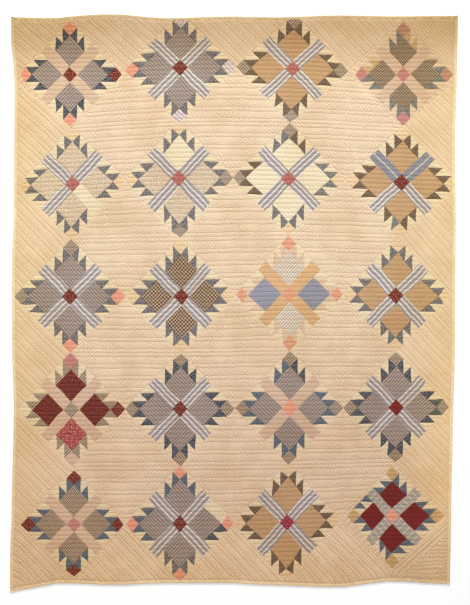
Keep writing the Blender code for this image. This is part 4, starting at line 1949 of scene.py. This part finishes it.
@dataclass
class BindingStrip:
    """One strip of binding, folded round an edge: a U of cloth carried along it."""

    side: Side
    outline: Outline
    finish: BindingCotton
    groups: ClothGroups
    height: float = 0.0043
    cloth: float = 0.0007
    lip: float = 0.0006
    roll: float = 0.0018
    fold_steps: int = 8
    flat_steps: int = 4
    step: float = 0.006

    def profile(self) -> tuple[Array, Array]:
        """The closed cross-section: flat back, half circle round the fold, flat front, and back inside.

        Returns:
            Distances in from the edge, and heights.
        """
        width = self.outline.binding_width
        radius = self.height / 2.0
        turn = np.linspace(0.0, math.pi, self.fold_steps + 1)
        inner = np.linspace(width - self.roll, radius, self.flat_steps)[:-1]
        flat = np.concatenate([[width], inner])
        outer_in = np.concatenate([flat, radius - radius * np.sin(turn), flat[::-1]])
        outer_up = np.concatenate(
            [
                np.zeros_like(flat),
                radius - radius * np.cos(turn),
                self.height - self.lip * (flat[::-1] - radius) / (width - radius),
            ]
        )
        small = radius - self.cloth
        inner_in = np.concatenate([flat, radius - small * np.sin(turn), flat[::-1]])[::-1]
        low, high = np.full_like(flat, self.cloth), np.full_like(flat, self.height - self.cloth)
        inner_up = np.concatenate([low, radius - small * np.cos(turn), high])[::-1]
        return np.concatenate([outer_in, inner_in]), np.concatenate([outer_up, inner_up])

    def build(self) -> bpy.types.Object:
        """The cross-section carried along the edge, with small ripples where the stitches draw it in.

        Returns:
            The strip.
        """
        is_side = self.side in (Side.LEFT, Side.RIGHT)
        length = self.outline.length if is_side else self.outline.width
        start = 0.0 if is_side else self.outline.seam_inset
        along_line = np.linspace(start, length - start, int((length - 2 * start) / self.step) + 1)
        inward, up = self.profile()
        along, inn = np.meshgrid(along_line, inward, indexing="ij")
        heights = np.broadcast_to(up, along.shape)
        reach = inn / self.outline.binding_width
        ripple = 0.00022 * np.sin(along * 310.0 + 1.3 * np.sin(along * 41.0)) + 0.00025 * np.sin(
            along * 97.0 + 0.8
        )
        front = heights > self.height / 2.0
        lifted = heights + np.where(front, ripple * np.sin(math.pi * reach.clip(0, 1)), 0.0)
        draw = 0.00035 * np.sin(along * 260.0 + 2.0 * np.sin(along * 23.0)) * (reach > 0.99) * front
        inn = inn + draw
        out = self.outline
        x, y = {
            Side.LEFT: lambda: out.laid(inn, along),
            Side.RIGHT: lambda: out.laid(out.width - inn, along),
            Side.TOP: lambda: out.laid(along, inn),
            Side.BOTTOM: lambda: out.laid(along, out.length - inn),
        }[self.side]()
        points = np.stack([x, y, lifted], axis=-1).reshape(-1, 3)
        stations, ring = along.shape
        number = np.arange(points.shape[0]).reshape(stations, ring)
        turned = np.roll(number, -1, axis=1)
        faces = [quads(number[:-1], turned[:-1], turned[1:], number[1:])]
        half = ring // 2
        for end, flip in ((0, False), (stations - 1, True)):
            outer = number[end, :half]
            inner = number[end, half:][::-1]
            cap = quads(outer[:-1], outer[1:], inner[1:], inner[:-1])
            faces.append(cap[:, ::-1] if flip else cap)
        triangles = np.concatenate(faces)
        if self._volume(points, triangles) < 0.0:
            triangles = triangles[:, ::-1]
        mesh = write_mesh(f"binding_cloth_{self.side.value}", points, triangles)
        around = np.concatenate([[0.0], np.cumsum(np.hypot(np.diff(inward), np.diff(up)))])
        sweep = np.broadcast_to(around, along.shape)
        write_uv(mesh, "grain", np.stack([along, sweep], -1).reshape(-1, 2)[triangles.ravel()])
        mesh.materials.append(self.finish.material(self.groups))
        made = link(mesh)
        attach(made, "root")
        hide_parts(f"binding_{self.side.value}")
        return made

    @staticmethod
    def _volume(points: Array, triangles: Array) -> float:
        """Six times the signed volume inside the triangles, positive where they face outwards."""
        a, b, c = (points[triangles[:, i]] for i in range(3))
        return float((a * np.cross(b, c)).sum())


# ---- camera, floor and light


@dataclass
class Studio:
    """The camera straight above, a plain pale floor, and soft light from beyond the top edge."""

    middle: tuple[float, float] = (0.0039, 0.0010)
    frame_height: float = 2.349
    lens: float = 85.0
    sensor: float = 36.0
    floor_size: float = 30.0
    floor_glow: float = 0.14

    def camera(self) -> bpy.types.Object:
        """The camera, as far up as its lens needs for the photograph's frame."""
        data = bpy.data.cameras.new("camera above the quilt")
        data.lens = self.lens
        data.sensor_width = self.sensor
        made = bpy.data.objects.new("camera above the quilt", data)
        distance = self.frame_height / self.sensor * self.lens
        made.location = (self.middle[0], self.middle[1], distance + 0.005)
        data.clip_end = 100.0
        bpy.context.scene.collection.objects.link(made)
        bpy.context.scene.camera = made
        return made

    def floor(self) -> bpy.types.Object:
        """A flat white floor under the quilt."""
        half = self.floor_size / 2.0
        low = -0.0004
        corners = [[-half, -half, low], [half, -half, low], [half, half, low], [-half, half, low]]
        mesh = write_mesh("floor", np.array(corners), np.array([[0, 1, 2], [0, 2, 3]]))
        material = bpy.data.materials.new("white floor")
        material.use_nodes = True
        nodes = Nodes(material.node_tree)
        shader = material.node_tree.nodes["Principled BSDF"]
        place = nodes.add("ShaderNodeTexCoord").outputs["Object"]
        faint = nodes.smooth(nodes.noise(place, 2.0, 2.0), 0.3, 0.7)
        nodes.feed(
            shader.inputs["Base Color"],
            nodes.mix(faint, (0.97, 0.97, 0.965, 1.0), (0.98, 0.98, 0.98, 1.0)),
        )
        shader.inputs["Roughness"].default_value = 0.9
        shader.inputs["Specular IOR Level"].default_value = 0.1
        shader.inputs["Emission Color"].default_value = (1.0, 1.0, 1.0, 1.0)
        shader.inputs["Emission Strength"].default_value = self.floor_glow
        mesh.materials.append(material)
        made = link(mesh)
        return made

    def light(
        self, name: str, place: tuple[float, float, float], size: float, power: float, warmth: float
    ) -> bpy.types.Object:
        """A square area light that faces the quilt's middle.

        Args:
            name: Its name.
            place: Where it hangs.
            size: Its side.
            power: Its power in watts.
            warmth: How much less blue than red it gives, 0 to 1.

        Returns:
            The light.
        """
        data = bpy.data.lights.new(name, "AREA")
        data.size = size
        data.energy = power
        data.color = (1.0, 1.0 - 0.5 * warmth, 1.0 - warmth)
        made = bpy.data.objects.new(name, data)
        made.location = place
        made.rotation_euler = (-Vector(place)).to_track_quat("-Z", "Y").to_euler()
        bpy.context.scene.collection.objects.link(made)
        return made

    def build(self) -> None:
        """Camera, floor, lights and a soft white surround."""
        self.camera()
        self.floor()
        self.light("soft light beyond the top edge", (0.2, 9.0, 4.6), 3.2, 1010.0, 0.02)
        self.light("soft light above", (-0.6, -0.5, 6.5), 4.0, 106.0, 0.0)
        world = bpy.data.worlds.new("soft white surround")
        world.use_nodes = True
        world.node_tree.nodes["Background"].inputs["Color"].default_value = (1.0, 1.0, 1.0, 1.0)
        world.node_tree.nodes["Background"].inputs["Strength"].default_value = 0.33
        bpy.context.scene.world = world
        bpy.context.scene.view_settings.view_transform = "Standard"


# ---- the whole quilt


@dataclass
class Quilt:
    """The whole quilt: its body, the pieces of its top and its binding."""

    outline: Outline = Outline()
    quilting: Quilting = Quilting()
    groups: ClothGroups = field(default_factory=ClothGroups)
    small_block: float = 0.94
    made: list[bpy.types.Object] = field(default_factory=list)

    def __post_init__(self) -> None:
        """Fits the layout to the outline."""
        self.layout = Layout(self.outline)

    def _piece(self, kind: type[TopPiece], name: str, u: float, v: float, **more: object) -> None:
        """Builds one piece of the top and keeps it."""
        piece = kind(name, self.layout, self.quilting, self.groups, u, v, **more)
        self.made.append(piece.build())
        LOG.info("%s: %d triangles", name, len(self.made[-1].data.polygons))

    def blocks(self) -> None:
        """The 20 bear paw blocks."""
        for chart in CHART:
            name = f"block_row{chart.row + 1}_{chart.column + 1}"
            u, v = chart.column + 0.5, chart.row + 0.5
            scale = 1.0 if chart.reach is None else self.small_block
            self._piece(BearPawBlock, name, u, v, scale=scale, chart=chart)

    def plain_squares(self) -> None:
        """The 12 plain squares between the blocks."""
        for row in range(1, BLOCKS_DOWN):
            for column in range(1, BLOCKS_ACROSS):
                self._piece(PlainSquare, f"plain_square_{row}_{column}", float(column), float(row))

    def edge_pieces(self) -> None:
        """The 14 half squares and 4 corner pieces, their rows as the photograph has them on each side."""
        seam, opened = EdgeKind.SEAM, EdgeKind.OPEN
        at_left = PairedRows(0.026, 0.0146, 0.0443)
        at_right = PairedRows(0.018, 0.0170, 0.0468)
        at_top = PairedRows(0.0010, 0.0135, 0.0430)
        at_bottom = PairedRows(0.0085, 0.0127, 0.0412)
        at_low_corner = PairedRows(0.0060, 0.0150, 0.0560)
        at_top_corner = PairedRows(0.0010, 0.0115, 0.0235)
        for row in range(1, BLOCKS_DOWN):
            self._piece(
                EdgePiece, f"half_square_left_{row}", 0.0, float(row),
                sides=GridSides(opened, seam, opened, seam), rows=at_left,
                cloth=Cloth.SOFTLY_SHADED_GROUND,
            )  # fmt: skip
            self._piece(
                EdgePiece, f"half_square_right_{row}", float(BLOCKS_ACROSS), float(row),
                sides=GridSides(seam, opened, seam, opened), rows=at_right, from_high=False,
                cloth=Cloth.SOFTLY_SHADED_GROUND,
            )  # fmt: skip
        for column in range(1, BLOCKS_ACROSS):
            self._piece(
                EdgePiece, f"half_square_top_{column}", float(column), 0.0,
                sides=GridSides(opened, seam, seam, opened), rows=at_top, from_high=False,
                cloth=Cloth.HATCHED if column > 1 else Cloth.GROUND,
            )  # fmt: skip
            self._piece(
                EdgePiece, f"half_square_bottom_{column}", float(column), float(BLOCKS_DOWN),
                sides=GridSides(seam, opened, opened, seam), rows=at_bottom,
                cloth=Cloth.DEEPLY_SHADED_GROUND,
            )  # fmt: skip
        corners = (
            ("top_left", 0, 0, (opened, seam, opened, opened), at_left, Cloth.GROUND),
            ("top_right", 4, 0, (opened, opened, seam, opened), at_top_corner, Cloth.HATCHED),
            ("bottom_left", 0, 5, (opened, opened, opened, seam), at_bottom, Cloth.DEEPLY_SHADED_GROUND),
            ("bottom_right", 4, 5, (seam, opened, opened, opened), at_low_corner, Cloth.DEEPLY_SHADED_GROUND),
        )
        for name, u, v, sides, rows, cloth in corners:
            self._piece(
                EdgePiece, f"corner_piece_{name}", float(u), float(v), sides=GridSides(*sides),
                rows=rows, from_high=u == 0, cloth=cloth,
                rising_to=0.040 if name == "bottom_right" else 0.0,
            )  # fmt: skip

    def binding(self) -> None:
        """The four binding strips."""
        finish = BindingCotton()
        for side in Side:
            roll = 0.0003 if side is Side.TOP else BindingStrip.roll
            strip = BindingStrip(side, self.outline, finish, self.groups, roll=roll).build()
            self.made.append(strip)
            LOG.info("%s: %d triangles", strip.name, len(strip.data.polygons))

    def build(self) -> None:
        self.blocks()
        self.plain_squares()
        self.edge_pieces()
        self.binding()
        body = QuiltBody(self.layout, self.quilting, self.groups).build()
        LOG.info("%s: %d triangles", body.name, len(body.data.polygons))


def main() -> None:
    """Loads the frame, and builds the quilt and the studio."""
    logging.basicConfig(level=logging.INFO, format="%(name)s: %(message)s")
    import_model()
    Studio().build()
    LOG.info("studio: camera, floor and two soft lights")
    quilt = Quilt()
    quilt.build()
    total = sum(len(made.data.polygons) for made in quilt.made)
    LOG.info("%d pieces, %d triangles without the body", len(quilt.made), total)


if __name__ == "__main__":
    main()
